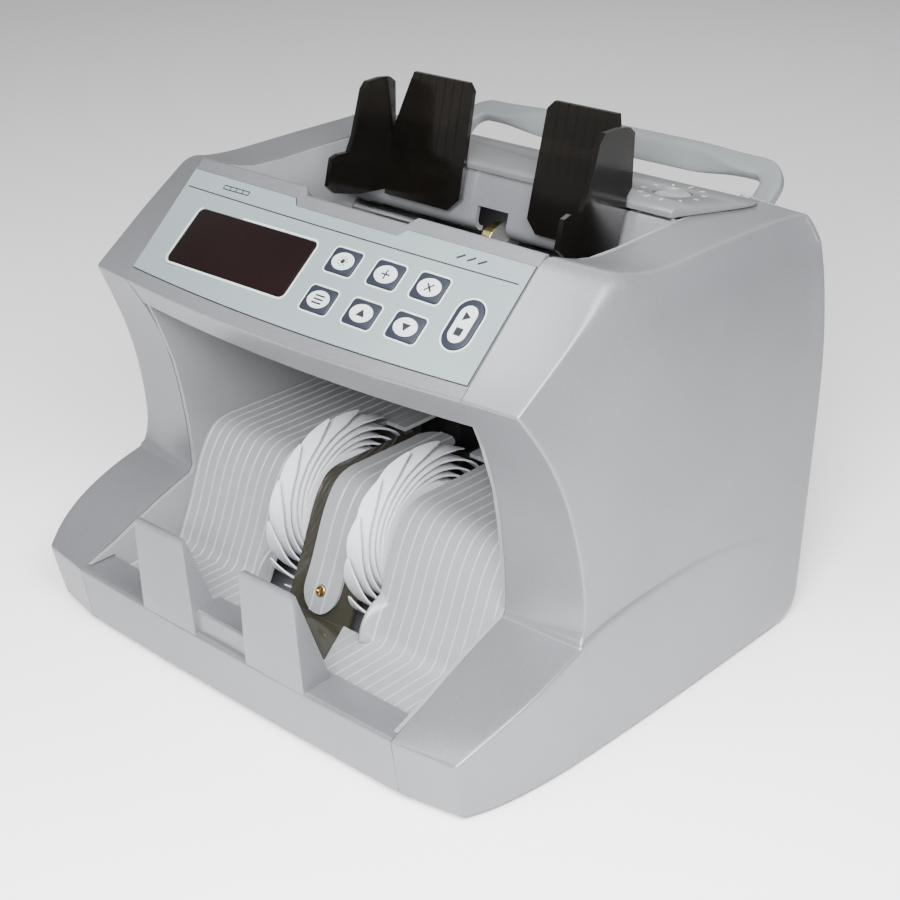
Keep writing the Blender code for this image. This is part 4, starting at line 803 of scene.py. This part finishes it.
def console_profile(x):
    y0 = PANEL_LOW[0] - bow(x)
    top = panel_point(x, 1.0 - notch_drop(x) / SLOPE_LENGTH)
    path = [(y0 + 11.0, 143.7), (y0 + 8.6, 143.7), (y0 + 4.2, 151.0), (y0, PANEL_LOW[1]), (top.y, top.z),
            (top.y + 1.7, top.z - 0.3), (81.4, min(top.z - 2.5, 197.5)), (83.0, 182.0), (84.5, 160.0)]
    return fillet(path, (0, 0.6, 0, 1.3, 0.9, 0.9, 3.0, 0, 0), 4)


def console_shell():
    columns = console_columns(CONSOLE_HALF)
    outer = [console_profile(x) for x in columns]
    inner = [offset_path(profile, SHELL) for profile in outer]
    return shell_of("console_housing", [[(x, *p) for p in row] for x, row in zip(columns, outer)],
                    [[(x, *p) for p in row] for x, row in zip(columns, inner)])


def overlay_sheet(name, lift, grow=0.0):
    half = CONSOLE_HALF - 0.6 + grow
    columns = console_columns(half)
    step = grow / SLOPE_LENGTH
    grids = []
    for height in lift:
        grid = []
        for x in columns:
            top = OVERLAY[1] + step - notch_drop(x) * 0.9 / SLOPE_LENGTH
            low = OVERLAY[0] - step
            grid.append([panel_point(x, low + (top - low) * k / 10, height) for k in range(11)])
        grids.append(grid)
    return shell_of(name, *grids)


def key_outline(name, grow=0.0):
    if name == "key_start":
        return rounded(START_SIZE[0] + 2 * grow, START_SIZE[1] + 2 * grow, START_RADIUS + grow, 10)
    return rounded(KEY_SIZE[0] + 2 * grow, KEY_SIZE[1] + 2 * grow, KEY_RADIUS + grow, 5)


def stroke(a, b, width):
    """A thin printed line between two points."""
    a, b = Vector(a), Vector(b)
    n = (b - a).normalized()
    n = Vector((-n.y, n.x)) * width / 2
    return [tuple(a + n), tuple(a - n), tuple(b - n), tuple(b + n)]


KEY_SIGNS = {
    "key_test": [circle(1.1, (0.0, 0.0), 16)] + [
        stroke((1.7 * math.cos(a), 1.7 * math.sin(a)), (2.6 * math.cos(a), 2.6 * math.sin(a)), 0.4)
        for a in [math.pi * k / 4 for k in range(8)]],
    "key_add": [stroke((-2.2, 0), (2.2, 0), 0.7), stroke((0, -2.2), (0, 2.2), 0.7)],
    "key_multi": [stroke((-1.7, -1.7), (1.7, 1.7), 0.7), stroke((-1.7, 1.7), (1.7, -1.7), 0.7)],
    "key_batch": [stroke((-2.6, h), (2.6, h), 0.75) for h in (-1.7, 0.0, 1.7)],
    "key_up": [[(-2.2, -1.4), (2.2, -1.4), (0.0, 2.0)]],
    "key_down": [[(-2.2, 1.4), (2.2, 1.4), (0.0, -2.0)]],
    "key_start": [[(-1.5, 1.4), (1.9, 3.4), (-1.5, 5.4)],
                  [(-1.7, -5.1), (1.7, -5.1), (1.7, -1.7), (-1.7, -1.7)]],
}
KEY_TOP = 1.3
KEY_OVAL = (5.75, 4.1)
START_OVAL = (8.2, 16.6, 4.1)


def key_set(name, x, v):
    """A slate key cap with a pale oval and its sign, and the pale outline printed round it."""
    place = panel_frame(x, v)
    cap = panel_prism(f"cap_{name}", key_outline(name), place, -KEY_DEPTH, KEY_TOP)
    bevel(cap, 0.3, 3, 60.0)
    finish(cap, "key", name, "key", name)
    if name == "key_start":
        oval = rounded(*START_OVAL, 10)
    else:
        oval = [(KEY_OVAL[0] * x, KEY_OVAL[1] * y) for x, y in circle(1.0, count=40)]
    pad = panel_prism(f"oval_{name}", oval, place, KEY_TOP - 0.1, KEY_TOP + 0.05)
    finish(pad, "print_white", name, "key")
    for k, outline in enumerate(KEY_SIGNS[name]):
        sign = panel_prism(f"sign_{name}_{k}", outline, place, KEY_TOP - 0.05, KEY_TOP + 0.11)
        finish(sign, "print_and_shadow_dark", name, "key")
    panel_ring(f"outline_{name}", key_outline(name, 1.05), key_outline(name, 0.32), place)


def panel_rule(name, x0, x1, v, width):
    """A printed line that follows the bowed panel."""
    count = 24
    half = width / 2 / SLOPE_LENGTH
    grids = []
    for lift in PRINT_LIFT:
        grids.append([[panel_point(x0 + (x1 - x0) * i / count, v + side * half, lift) for side in (-1, 1)]
                      for i in range(count + 1)])
    finish(shell_of(name, *grids), "print_and_shadow_dark", STATIC, "overlay")


def panel_mark(name, x, v, outlines):
    place = panel_frame(x, v)
    for k, outline in enumerate(outlines):
        finish(panel_prism(f"{name}_{k}", outline, place, *PRINT_LIFT), "print_and_shadow_dark", STATIC, "overlay")


def console():
    shell = console_shell()
    overlay = overlay_sheet("membrane", OVERLAY_LIFT)
    # a dark sheet a little larger than the membrane, under its edge: painted shadow in the gap round the
    # membrane
    shadow_edge = overlay_sheet("membrane_shadow_edge", (0.02, OVERLAY_LIFT[0]), 0.35)
    x, v, width, height = WINDOW
    place = panel_frame(x, v)
    for target in (shell, overlay, shadow_edge):
        for name, at in KEYS.items():
            cut(target, panel_prism("hole", key_outline(name, GAP), panel_frame(*at), *THROUGH))
        cut(target, panel_prism("hole", rounded(width + 2 * GAP, height + 2 * GAP, 2.9), place, *THROUGH))
    finish(shell, "housing", STATIC, "housing", "console_shell")
    finish(overlay, "overlay", STATIC, "overlay", "panel_overlay")
    # the painted shadow round the membrane, in the dark print colour
    finish(shadow_edge, "print_and_shadow_dark", STATIC, "overlay")
    window = panel_prism("window", rounded(width, height, 2.6, 8), place, -WINDOW_DEPTH, OVERLAY_LIFT[1])
    bevel(window, 0.25, 2, 60.0)
    finish(window, "window", STATIC, "window", "display_window")
    panel_ring("window_border", rounded(width + 2.6, height + 2.6, 3.9, 8),
               rounded(width + 0.7, height + 0.7, 2.95, 8), place)
    for name, at in KEYS.items():
        key_set(name, *at)
    panel_rule("rule_upper", *RULE_AT, RULE_WIDTH)
    ladder = [stroke((-8.0, h), (8.0, h), 0.5) for h in (0.9, -0.9)]
    ladder += [stroke((-8.0 + 4 * k, -1.1), (-8.0 + 4 * k, 1.1), 0.5) for k in range(5)]
    panel_mark("mark_left", -66.5, MARK_V, ladder)
    slashes = [stroke((-8.5 + 5.4 * k, -1.1), (-5.2 + 5.4 * k, 1.1), 0.9) for k in range(3)]
    panel_mark("mark_right", 70.5, MARK_V, slashes)


console()


# ------------------------------------------------------------------ stacker

BASE_Z = 28.0
FLOOR_Z = 20.5
PLATE_IN_X = 32.5
PLATE_OUT_X = 95.6
PLATE_T = 2.2
RIB_COUNT = 11
BAND_HALF = 10.4
BAND_T = 1.6
GUARD_HALF = 19.2
GUARD_T = 1.6
EAR_RADIUS = 17.6
EAR_AT = (56.0, 21.2)
SCREW_AT = (0.0, 48.2, 29.0)
SCREW_R = 2.6
SCREW_HOLE_R = 2.9
SCREW_SLOT = (0.4, 1.7)
BAND_FOOT_Z = 19.6
BAND_END_Y = 122.6
EAR_FOOT = (45.2, FLOOR_Z - 1.0)
EAR_CREST = (54.2, 39.8)
EAR_MIDDLE = (50.0, 29.0)
GUARD_FLOOR = (16.1, 17.9)
WALL_PATH = [(44.3, FLOOR_Z), (48.4, 29.2), (52.7, 38.2), (57.0, 49.1), (60.5, 58.0), (64.5, 65.8),
             (69.2, 72.0), (73.6, 74.9), (79.5, 76.2), (87.0, 76.2), (118.0, 76.0), (148.0, 76.0)]


def smooth_path(points, step=3.0):
    """The stacker wall as a finer smooth path through the same points."""
    path = [(0.0, *p) for p in points]
    count = max(int(length_of(path) / step), 4)
    return [(p.y, p.z) for p in sample_at(path, [i / count for i in range(count + 1)])]


FINE_WALL = smooth_path(WALL_PATH)


def sheet(name, path, x_low, x_high, thickness, ribs=(), rib_height=0.45, rib_half=0.5):
    """A bent sheet across x with fine raised ribs along its outer side."""
    stations = [(x_low, 0.0)]
    for x in ribs:
        stations += [(x - rib_half, 0.0), (x - rib_half * 0.55, 0.8), (x - rib_half * 0.2, 1.0),
                     (x + rib_half * 0.2, 1.0), (x + rib_half * 0.55, 0.8), (x + rib_half, 0.0)]
    stations.append((x_high, 0.0))
    outer, inner = [], []
    under = offset_path(path, thickness)
    for x, lift in stations:
        line = offset_path(path, -rib_height * lift) if lift else path
        outer.append([(x, *p) for p in line])
        inner.append([(x, *p) for p in under])
    return shell_of(name, outer, inner)


def hull(name, points):
    """The convex solid round a set of points."""
    mesh = bpy.data.meshes.new(name)
    bm = bmesh.new()
    for p in points:
        bm.verts.new(pt(*p))
    made = bmesh.ops.convex_hull(bm, input=bm.verts)
    inside = [v for v in made["geom_interior"] if isinstance(v, bmesh.types.BMVert)]
    bmesh.ops.delete(bm, geom=inside, context="VERTS")
    bm.to_mesh(mesh)
    bm.free()
    return add_object(name, mesh)


def stacker_plate(label, side):
    """Ribbed plate with its floor flap, a tab behind the wheel and the rounded ear beside it."""
    path = [(8.2, FLOOR_Z), (20.0, FLOOR_Z), (32.0, FLOOR_Z), (42.0, FLOOR_Z)] + FINE_WALL[1:]
    ribs = sorted(side * (RIB_FIRST + RIB_PITCH * i) for i in range(RIB_COUNT))
    low, high = sorted((side * PLATE_IN_X, side * PLATE_OUT_X))
    plate = sheet(f"plate_{label}", path, low, high, PLATE_T, ribs)
    flap = [(PLATE_IN_X + 4, 9.0), (31.2, 9.0), (31.2, 19.8), (18.6, 43.6), (PLATE_IN_X + 4, 43.6)]
    join(plate, prism("flap", [(side * x, y) for x, y in flap], FLOOR_Z - PLATE_T, FLOOR_Z - 0.01, "z"))
    tab = sorted((side * 20.4, side * (PLATE_IN_X + 1.0)))
    join(plate, box("tab", tab, (125.5, 147.5), (73.85, 75.9)))
    rim = arc(EAR_AT, EAR_RADIUS, 180.0, -88.0) + [EAR_FOOT, EAR_CREST]
    points = [(side * x, *p) for x in (PLATE_IN_X + 0.7, PLATE_IN_X + 1.4) for p in rim]
    centre = Vector(EAR_MIDDLE)
    for x in (PLATE_IN_X + 0.2, PLATE_IN_X + 1.8):
        points += [(side * x, *(centre + (Vector(p) - centre) * 0.97)) for p in rim]
    points += [(side * (PLATE_IN_X + 6.5), *p) for p in (EAR_FOOT, (52.6, 36.0))]
    join(plate, hull("ear", points))
    finish(plate, "plate", STATIC, "grey_plastic", f"stacker_plate_{label}", crease=40.0)


def stacker_lip():
    """The front lip, swelling forward to its middle, with a low hump and two leaning stops."""
    count = 16
    half = CONSOLE_HALF
    loops = []
    for i in range(-count, count + 1):
        x = half * i / count
        swell = 1 - (x / SEAM_X) ** 2
        front, foot = -9.9 - 1.6 * swell, -5.8 - 1.4 * swell
        outer = fillet([(foot, 0.3), (front, 26.6), (front + 1.2, BASE_Z), (7.6, BASE_Z), (7.6, 18.0)],
                       (0, 1.2, 1.4, 0.8, 0), 3)
        under = fillet([(foot + 2.5, 0.3), (front + 3.2, BASE_Z - SHELL), (5.2, BASE_Z - SHELL), (5.2, 18.0)],
                       (0, 0.8, 0.5, 0), 5)
        loops.append([(x, *p) for p in outer] + [(x, *p) for p in under[::-1]])
    lip = loft("front_lip", loops)
    hump = [(-8.6, 26.9), (-8.6, 37.6), (-7.8, 38.4), (5.6, 38.0), (7.4, 30.0), (7.4, 26.9)]
    middle = prism("hump", hump, -18.0, 18.0)
    for side in (-1, 1):
        join(middle, tooth(side))
    bevel(middle, 0.8, 3, 28.0)
    join(lip, middle)
    finish(lip, "housing", STATIC, "housing", "stacker_lip", crease=30.0)


def tooth(side):
    """A leaning stop of the lip; each row is a height with the spans in x and y there."""
    rows = [(26.9, (16.0, 51.0), (-11.0, 4.8)), (38.0, (16.3, 50.6), (-11.6, 1.0)),
            (70.6, (17.5, 49.3), (-13.1, -10.4)), (72.6, (18.2, 48.6), (-13.0, -10.7)),
            (73.6, (20.2, 46.6), (-12.8, -11.2))]
    return loft("tooth", [[(side * x0, y0, z), (side * x1, y0, z), (side * x1, y1, z), (side * x0, y1, z)]
                          for z, (x0, x1), (y0, y1) in rows])


def arch_band():
    """The band down the middle, round at both ends, with the cross-slotted screw at its foot."""
    bend = [p for p in smooth_path(WALL_PATH[:-2]) if p[1] > FLOOR_Z + 1]
    path = offset_path([(43.4, 18.6)] + bend + [(118.0, 76.1), (133.0, 76.2)], -0.2)
    band = sheet("band", path, -BAND_HALF, BAND_HALF, BAND_T, (-BAND_RIB, BAND_RIB), 0.35, 0.6)
    foot_z, end_y, clear = BAND_FOOT_Z + BAND_HALF, BAND_END_Y, 30.0
    foot = arc((0.0, foot_z), BAND_HALF, 180.0, 180.0)[::-1]
    mask = [(-clear, 0.0), (clear, 0.0), (clear, foot_z)] + foot + [(-clear, foot_z)]
    cut(band, prism("band_foot", mask, 30.0, 62.0, "y"))
    end = arc((0.0, end_y), BAND_HALF, 0.0, 180.0)
    mask = [(clear, end_y)] + end + [(-clear, end_y), (-clear, 140), (clear, 140)]
    cut(band, prism("band_end", mask, 60.0, 90.0, "z"))
    cut(band, slanted("screw_seat", circle(SCREW_HOLE_R, count=24), *THROUGH))
    finish(band, "band", STATIC, "grey_plastic", "arch_band", crease=40.0)
    head = slanted("screw_head", circle(SCREW_R, count=32), -4.0, 0.9)
    bevel(head, 0.35, 3, 60.0)
    for a, b in (SCREW_SLOT, SCREW_SLOT[::-1]):
        cut(head, slanted("slot", [(-a, -b), (a, -b), (a, b), (-a, b)], 0.1, 2.0))
    finish(head, "brass", STATIC, "brass", "band_screw")


def slanted(name, outline, low, high):
    """A prism on the band's screw, with its axis square to the stacker wall."""
    along = (Vector((0.0, 52.7, 38.2)) - Vector((0.0, 44.3, FLOOR_Z))).normalized()
    normal = Vector((0.0, -along.z, along.y))
    centre = Vector(SCREW_AT)
    return slab(name, *[[tuple(centre + Vector((a, 0, 0)) + along * b + normal * h) for a, b in outline]
                        for h in (low, high)])


def smoke_guard():
    """The translucent guard under the band, with the floor it spreads into at the front."""
    shifted = offset_path([WALL_PATH[0]] + FINE_WALL[1:], BAND_T + 0.3)
    path = [(44.3, 16.1)] + [tuple(p) for p in shifted if p.x < 127.0] + [(128.0, shifted[-1].y)]
    guard = sheet("guard", path, -GUARD_HALF, GUARD_HALF, GUARD_T)
    half = [(GUARD_HALF - 0.2, 45.6), (GUARD_HALF - 0.2, 43.6), (30.6, 19.8), (30.6, 8.4)]
    outline = half + [(-x, y) for x, y in reversed(half)]
    join(guard, prism("guard_floor", outline, *GUARD_FLOOR, "z"))
    cut(guard, slanted("screw_hole", circle(SCREW_HOLE_R, count=24), -8.0, THROUGH[1]))
    finish(guard, "guard", STATIC, "smoke", "smoke_guard")


for label, hand in SIDES:
    stacker_plate(label, hand)
stacker_lip()
arch_band()
smoke_guard()


# ------------------------------------------------------------------ impellers

WHEEL_AXIS = (85.9, 49.0)
WHEEL_X = 24.4
WHEEL_TIP_R = 45.6
WHEEL_HUB_R = 28.3
WHEEL_HALF = 4.2
BLADE_TIP_HALF = 0.45
BLADE_TAPER = 16.0          # degrees over which a blade widens from its tip
BLADES = 15
BLADE_SWEEP = 118.0
BLADE_T = 0.9
BLADE_PHASE = 48.5
SHAFT_R = 4.0


def wheel_point(radius, degrees, x):
    a = math.radians(degrees)
    return (x, WHEEL_AXIS[0] + radius * math.cos(a), WHEEL_AXIS[1] + radius * math.sin(a))


def impeller(label, side):
    """Hub with swept blades that narrow to a rounded point at the tip."""
    cx = side * WHEEL_X
    angles = [0.0, 1.2, 2.6, 4.4, 6.8, 10.0, 14.0, 19.0, 25.0] + [32.0 + 7.2 * i for i in range(10)]
    widening = WHEEL_HALF - BLADE_TIP_HALF
    verts, faces = [], []
    pitch = 360.0 / BLADES
    root_half = math.degrees(BLADE_T / WHEEL_HUB_R) * 1.6
    ring = {-1: [], 1: []}
    for k in range(BLADES):
        tip = BLADE_PHASE + pitch * k
        rings = []
        for phi in angles:
            r = WHEEL_HUB_R + (WHEEL_TIP_R - WHEEL_HUB_R) * (1 - phi / BLADE_SWEEP) ** 1.38
            thick = BLADE_T * min(1.0, 0.5 + phi / 24.0)
            half = min(WHEEL_HALF, BLADE_TIP_HALF + widening * (phi / BLADE_TAPER) ** 0.8)
            shift = side * 0.6 * (1 - half / WHEEL_HALF)
            row = []
            for s in (-1, 1):
                for radius in (r + thick / 2, r - thick / 2):
                    row.append(len(verts))
                    verts.append(wheel_point(radius, tip + phi, cx + shift + s * half))
            rings.append(row)
        root = []
        for s in (-1, 1):
            for turn in (root_half, -root_half):
                root.append(len(verts))
                verts.append(wheel_point(WHEEL_HUB_R, tip + BLADE_SWEEP + turn, cx + s * WHEEL_HALF))
        rings.append(root)
        faces.append((rings[0][0], rings[0][1], rings[0][3], rings[0][2]))
        for a, b in zip(rings, rings[1:]):
            faces += [(a[0], b[0], b[1], a[1]), (a[2], a[3], b[3], b[2]), (a[0], a[2], b[2], b[0]),
                      (a[1], b[1], b[3], a[3])]
        ring[-1] += [root[1], root[0]]
        ring[1] += [root[3], root[2]]
    count = len(ring[1])
    for k in range(1, count, 2):
        n = (k + 1) % count
        faces.append((ring[-1][k], ring[1][k], ring[1][n], ring[-1][n]))
    bore = {}
    for s in (-1, 1):
        bore[s] = []
        for i in range(count):
            bore[s].append(len(verts))
            turn = BLADE_PHASE + BLADE_SWEEP + pitch * i / 2
            verts.append(wheel_point(SHAFT_R + 0.1, turn, cx + s * WHEEL_HALF))
        for i in range(count):
            n = (i + 1) % count
            faces.append((ring[s][i], ring[s][n], bore[s][n], bore[s][i]))
    for i in range(count):
        n = (i + 1) % count
        faces.append((bore[-1][i], bore[-1][n], bore[1][n], bore[1][i]))
    wheel = raw(f"wheel_{label}", verts, faces)
    finish(wheel, "blade", "impellers", "white_plastic", f"impeller_{label}", crease=30.0)


for label, hand in SIDES:
    impeller(label, hand)


# ------------------------------------------------------------------ hopper

HOPPER_TOP = (168.6, 196.2)
HOPPER_LOW = (161.9, 173.0)
ROLL = 5.5
SLOT_Z = 192.2
SLOTS = ((-92.0, -43.0), (41.0, 94.0))
COVER_LOW = 193.9
DIAL_AT = (78.0, 191.3)
DIAL_R = 8.6
TICK_R = 12.6
TICK_HALF = 0.45
RAIL = (176.0, 189.6)


def hopper_rear_wall():
    """Leaning wall that rolls under at its foot, with a slot for each guide and a notch for the roller."""
    top, low = Vector(HOPPER_TOP), Vector(HOPPER_LOW)
    down = (low - top).normalized()
    square = Vector((-down.y, down.x))
    centre = low + square * ROLL
    start = math.degrees(math.atan2(-square.y, -square.x))
    path = [Vector((167.9, COVER_LOW - 0.4)), Vector((166.4, 189.8)), low]
    path += [Vector(p) for p in arc(centre, ROLL, start, 100.0, 14)[1:]]
    wall = sheet("hopper_back", path, -95.6, 95.6, -2.2)
    for slot in SLOTS:
        cut(wall, box("guide_slot", slot, (150, 200), (SLOT_Z, 210)))
    cut(wall, box("roller_notch", (-8.6, 9.6), (140, 200), (150, 178.6)))
    finish(wall, "housing", STATIC, "housing", "hopper_rear_wall")


def cover_top(y):
    """The height of the rear cover's sloping top."""
    return 197.7 - 0.07 * (y - 166.0)


COVER_EDGE = [(94.8, 166.0), (98.6, 175.0), (104.4, 187.0), (109.4, 198.0), (111.2, 204.0), (110.6, 208.0),
              (108.0, 209.6)]


def top_rear_cover():
    """The flat cover behind the hopper, its skirt down the back, and the printed scale round the dial."""
    curve = sample_at([(x, y, 0.0) for x, y in COVER_EDGE], [i / 20 for i in range(21)])
    half = [(p.x, p.y) for p in curve]
    edge = half + [(-x, y) for x, y in reversed(half)]
    cover = slab("rear_cover", [(x, y, COVER_LOW) for x, y in edge], [(x, y, cover_top(y)) for x, y in edge])
    chamfer = [(160.0, 190.0), (160.0, 205.0), (167.6, 205.0), (167.6, 197.7), (165.9, 196.3), (165.9, 190.0)]
    cut(cover, prism("chamfer", chamfer, -120.0, 120.0))
    skirt = [(206.5, 194.0), (206.5, cover_top(206.5) - 0.02), (211.0, 194.2), (214.2, 192.6), (215.4, 190.2),
             (213.2, 190.2), (211.6, 192.0), (209.0, 192.6)]
    join(cover, prism("skirt", skirt, -98.0, 98.0))
    cut(cover, prism("dial_hole", circle(DIAL_R, DIAL_AT, 48), 180, 210, "z"))
    bevel(cover, 0.35, 2, 40.0)
    finish(cover, "top", STATIC, "housing", "top_rear_cover")
    for i in range(11):
        dial_tick(f"tick_{i}", math.radians(-75.0 + 33.0 * i), 3.4 if i in (0, 5, 10) else 2.4)


def dial_tick(name, turn, length):
    """A short printed line that points at the middle of the dial."""
    out = Vector((math.cos(turn), math.sin(turn)))
    across = Vector((-out.y, out.x)) * TICK_HALF
    near = Vector(DIAL_AT) + out * TICK_R
    far = near + out * length
    corners = (near - across, far - across, far + across, near + across)
    tick = slab(name, *[[(c.x, c.y, cover_top(c.y) + h) for c in corners] for h in (-0.05, 0.06)])
    finish(tick, "print_white", STATIC, "housing")


def thickness_dial():
    x, y = DIAL_AT
    top = cover_top(y) - 1.0
    dial = prism("dial", circle(DIAL_R - 0.3, DIAL_AT, 48), 190.6, top, "z")
    bevel(dial, 0.4, 3, 60.0)
    join(dial, prism("stem", circle(3.0, DIAL_AT, 20), 180.0, 191.0, "z"))
    cut(dial, box("slot", (x - 7.0, x + 7.0), (y - 1.1, y + 1.1), (top - 1.6, top + 2.0)))
    finish(dial, "wall", "thickness_dial", "grey_plastic", "thickness_dial")


GUIDE_LOW = (156.7, 175.0)
GUIDE_HIGH = (169.7, 231.6)
GUIDE_T = 2.2
GUIDE_PLATE = [(20.0, 180.7), (26.0, 175.0), (66.0, 175.0), (68.3, 194.7), (67.3, 201.0), (58.4, 231.6),
               (24.4, 231.6), (21.2, 228.1)]
GUIDE_WING = [(117.2, 187.6), (121.8, 183.4), (139.1, 178.9), (157.8, 177.0), (161.6, 190.0), (163.4, 200.0),
              (166.5, 203.0), (166.8, 226.5), (163.0, 229.3), (156.0, 230.2), (146.5, 230.0), (143.3, 227.2),
              (136.2, 206.8), (132.4, 200.4), (124.8, 200.9), (120.6, 199.8)]
GUIDE_WING_X = 68.5
GUIDE_WING_T = 2.4
GUIDE_WING_LEAN = {-1: 0.08, 1: 0.0}    # how much a wing leans towards the middle at its front
GUIDE_SHIFT = 4.5
TONGUE_X = (58.5, 68.5)
CARRIAGE_X = (44.0, 68.5)


def note_guide(label, side):
    """Leaning back plate with fine grooves, a side wing, and the carriage that rides on the rail."""
    lean = (GUIDE_HIGH[0] - GUIDE_LOW[0]) / (GUIDE_HIGH[1] - GUIDE_LOW[1])

    def back_y(z):
        return GUIDE_LOW[0] + lean * (z - GUIDE_LOW[1])

    plate = slab(f"guide_{label}", *[[(side * x + GUIDE_SHIFT, back_y(z) + back, z) for x, z in GUIDE_PLATE]
                                     for back in (0.0, GUIDE_T)])

    def wing_x(y, half):
        return side * (GUIDE_WING_X + GUIDE_WING_LEAN[side] * (y - GUIDE_HIGH[0]) + half) + GUIDE_SHIFT

    join(plate, slab("wing", *[[(wing_x(y, half), y, z) for y, z in GUIDE_WING]
                               for half in (-GUIDE_WING_T / 2, GUIDE_WING_T / 2)]))
    z0, z1 = 200.0, 234.0
    groove = [(back_y(z0) - 1.0, z0), (back_y(z0) + 0.35, z0 + 0.5), (back_y(z1) + 0.35, z1),
              (back_y(z1) - 1.0, z1)]
    for k in range(7):
        x = side * (27.5 + 5.2 * k) + GUIDE_SHIFT
        cut(plate, prism("groove", groove, x - 0.45, x + 0.45))
    tongue = sorted(side * x + GUIDE_SHIFT for x in TONGUE_X)
    join(plate, box("tongue", tongue, (160.8, 173.0), (192.6, 193.5)))
    x0, x1 = sorted(side * x + GUIDE_SHIFT for x in CARRIAGE_X)
    join(plate, box("carriage", (x0, x1), (172.0, 180.2), (185.4, 193.5)))
    cut(plate, prism("rail_bore", circle(2.6, RAIL, 32), x0 - 2, x1 + 2))
    bevel(plate, 0.28, 2, 35.0)
    finish(plate, "smoke", f"guide_{label}", "smoke", f"note_guide_{label}", crease=8.0)


hopper_rear_wall()
top_rear_cover()
thickness_dial()
for label, hand in SIDES:
    note_guide(label, hand)


# ------------------------------------------------------------------ handle

HANDLE_PIVOT = (208.4, 155.8)
HANDLE_TILT = math.radians(36.0)
HANDLE_CORNER = 11.0
HANDLE_ARM_X = 91.0
HANDLE_BAR_AT = 62.1
ARM_SECTION = [(-5.4, 0.6), (-4.6, 2.6), (4.4, 3.0), (5.5, 1.8), (5.5, -1.8), (4.4, -3.0), (-4.4, -3.0),
               (-5.4, -1.8)]
GRIP_SECTION = [(-7.3, -2.6), (1.6, 4.2), (5.0, 3.9), (6.5, 2.4), (6.6, -3.0), (4.0, -6.2), (-3.0, -6.6),
                (-6.6, -4.6)]


def handle_point(x, along, lift):
    """A point of the raised handle, measured from its pivot along and off its plane."""
    return (x, HANDLE_PIVOT[0] + along * math.cos(HANDLE_TILT) - lift * math.sin(HANDLE_TILT),
            HANDLE_PIVOT[1] + along * math.sin(HANDLE_TILT) + lift * math.cos(HANDLE_TILT))


def handle_stations():
    """Places along the handle from foot to foot, each with the outward direction there."""
    r = HANDLE_CORNER
    cx, cy = HANDLE_ARM_X - r, HANDLE_BAR_AT - r
    right = [((HANDLE_ARM_X, a), (1.0, 0.0)) for a in (-5.0, -4.0, 20.0, cy)]
    for i in range(1, 9):
        t = math.radians(90.0 * i / 8)
        right.append(((cx + r * math.cos(t), cy + r * math.sin(t)), (math.cos(t), math.sin(t))))
    right += [((x, HANDLE_BAR_AT), (0.0, 1.0)) for x in (74.0, 68.0, 62.0, 56.0, 50.0, 44.0, 30.0, 15.0)]
    left = [((-p[0], p[1]), (-n[0], n[1])) for p, n in right]
    return left + [((0.0, HANDLE_BAR_AT), (0.0, 1.0))] + right[::-1]


def handle():
    """A thin bar that swells smoothly into the grip at its middle, with a pivot pin on each foot."""
    loops = []
    for (x, along), (nx, na) in handle_stations():
        share = min(max((74.0 - abs(x)) / 30.0, 0.0), 1.0) if na == 1.0 else 0.0
        share = share * share * (3 - 2 * share)
        loop = []
        for (w0, l0), (w1, l1) in zip(ARM_SECTION, GRIP_SECTION):
            w, lift = w0 + (w1 - w0) * share, l0 + (l1 - l0) * share
            loop.append(handle_point(x + nx * w, along + na * w, lift))
        loops.append(loop)
    body = loft("carry_handle", loops)
    crease = body.data.attributes.new("crease_edge", "FLOAT", "EDGE")
    for edge in body.data.edges:
        crease.data[edge.index].value = 0.35
    round_off(body)
    for side in (-1, 1):
        pin = sorted((side * 82.9, side * 88.0))
        join(body, prism("pin", circle(2.6, HANDLE_PIVOT, 24), *pin))
    finish(body, "handle", "handle", "housing", "handle")


handle()


# ------------------------------------------------------------------ pieces kept from the CAD

CARRIED = {
    "wall": ("inner_wall_left", "inner_wall_right", "feed_pulley", "transport_pulley", "motor_pulley",
             "sensor_bridge"),
    "housing": ("rear_panel", "hopper_floor"),
    "tray": ("base_tray",),
    "black": ("chute_liner", "power_inlet", "switch_frame", "power_rocker"),
    "steel": ("feed_shaft", "transport_shaft", "impeller_shaft", "guide_rail", "feed_motor", "stack_motor",
              "power_transformer"),
    "collar": ("feed_collar",),
    "rubber": ("foot_front_left", "foot_front_right", "foot_rear_left", "foot_rear_right", "feed_roller",
               "transport_roller_left", "transport_roller_right", "retard_block", "drive_belt",
               "timing_belt"),
    "board": ("main_board", "display_board"),
}
SOFT_EDGES = {"rear_panel": 0.4, "inner_wall_left": 0.3, "inner_wall_right": 0.3, "base_tray": 0.4}


def carry_over():
    """Paints the CAD's own pieces and eases the sharp edges of the large ones."""
    for mat, names in CARRIED.items():
        for name in names:
            mesh = NODES[name].data
            mesh.materials.clear()
            mesh.materials.append(MAT[mat])
            if name in SOFT_EDGES:
                weld = NODES[name].modifiers.new("weld", "WELD")
                weld.merge_threshold = 0.00001
                edge = NODES[name].modifiers.new("edge", "BEVEL")
                edge.width = SOFT_EDGES[name] * MM
                edge.segments = 2
                edge.limit_method = "ANGLE"
                edge.angle_limit = math.radians(50.0)


carry_over()

place_camera()
studio()
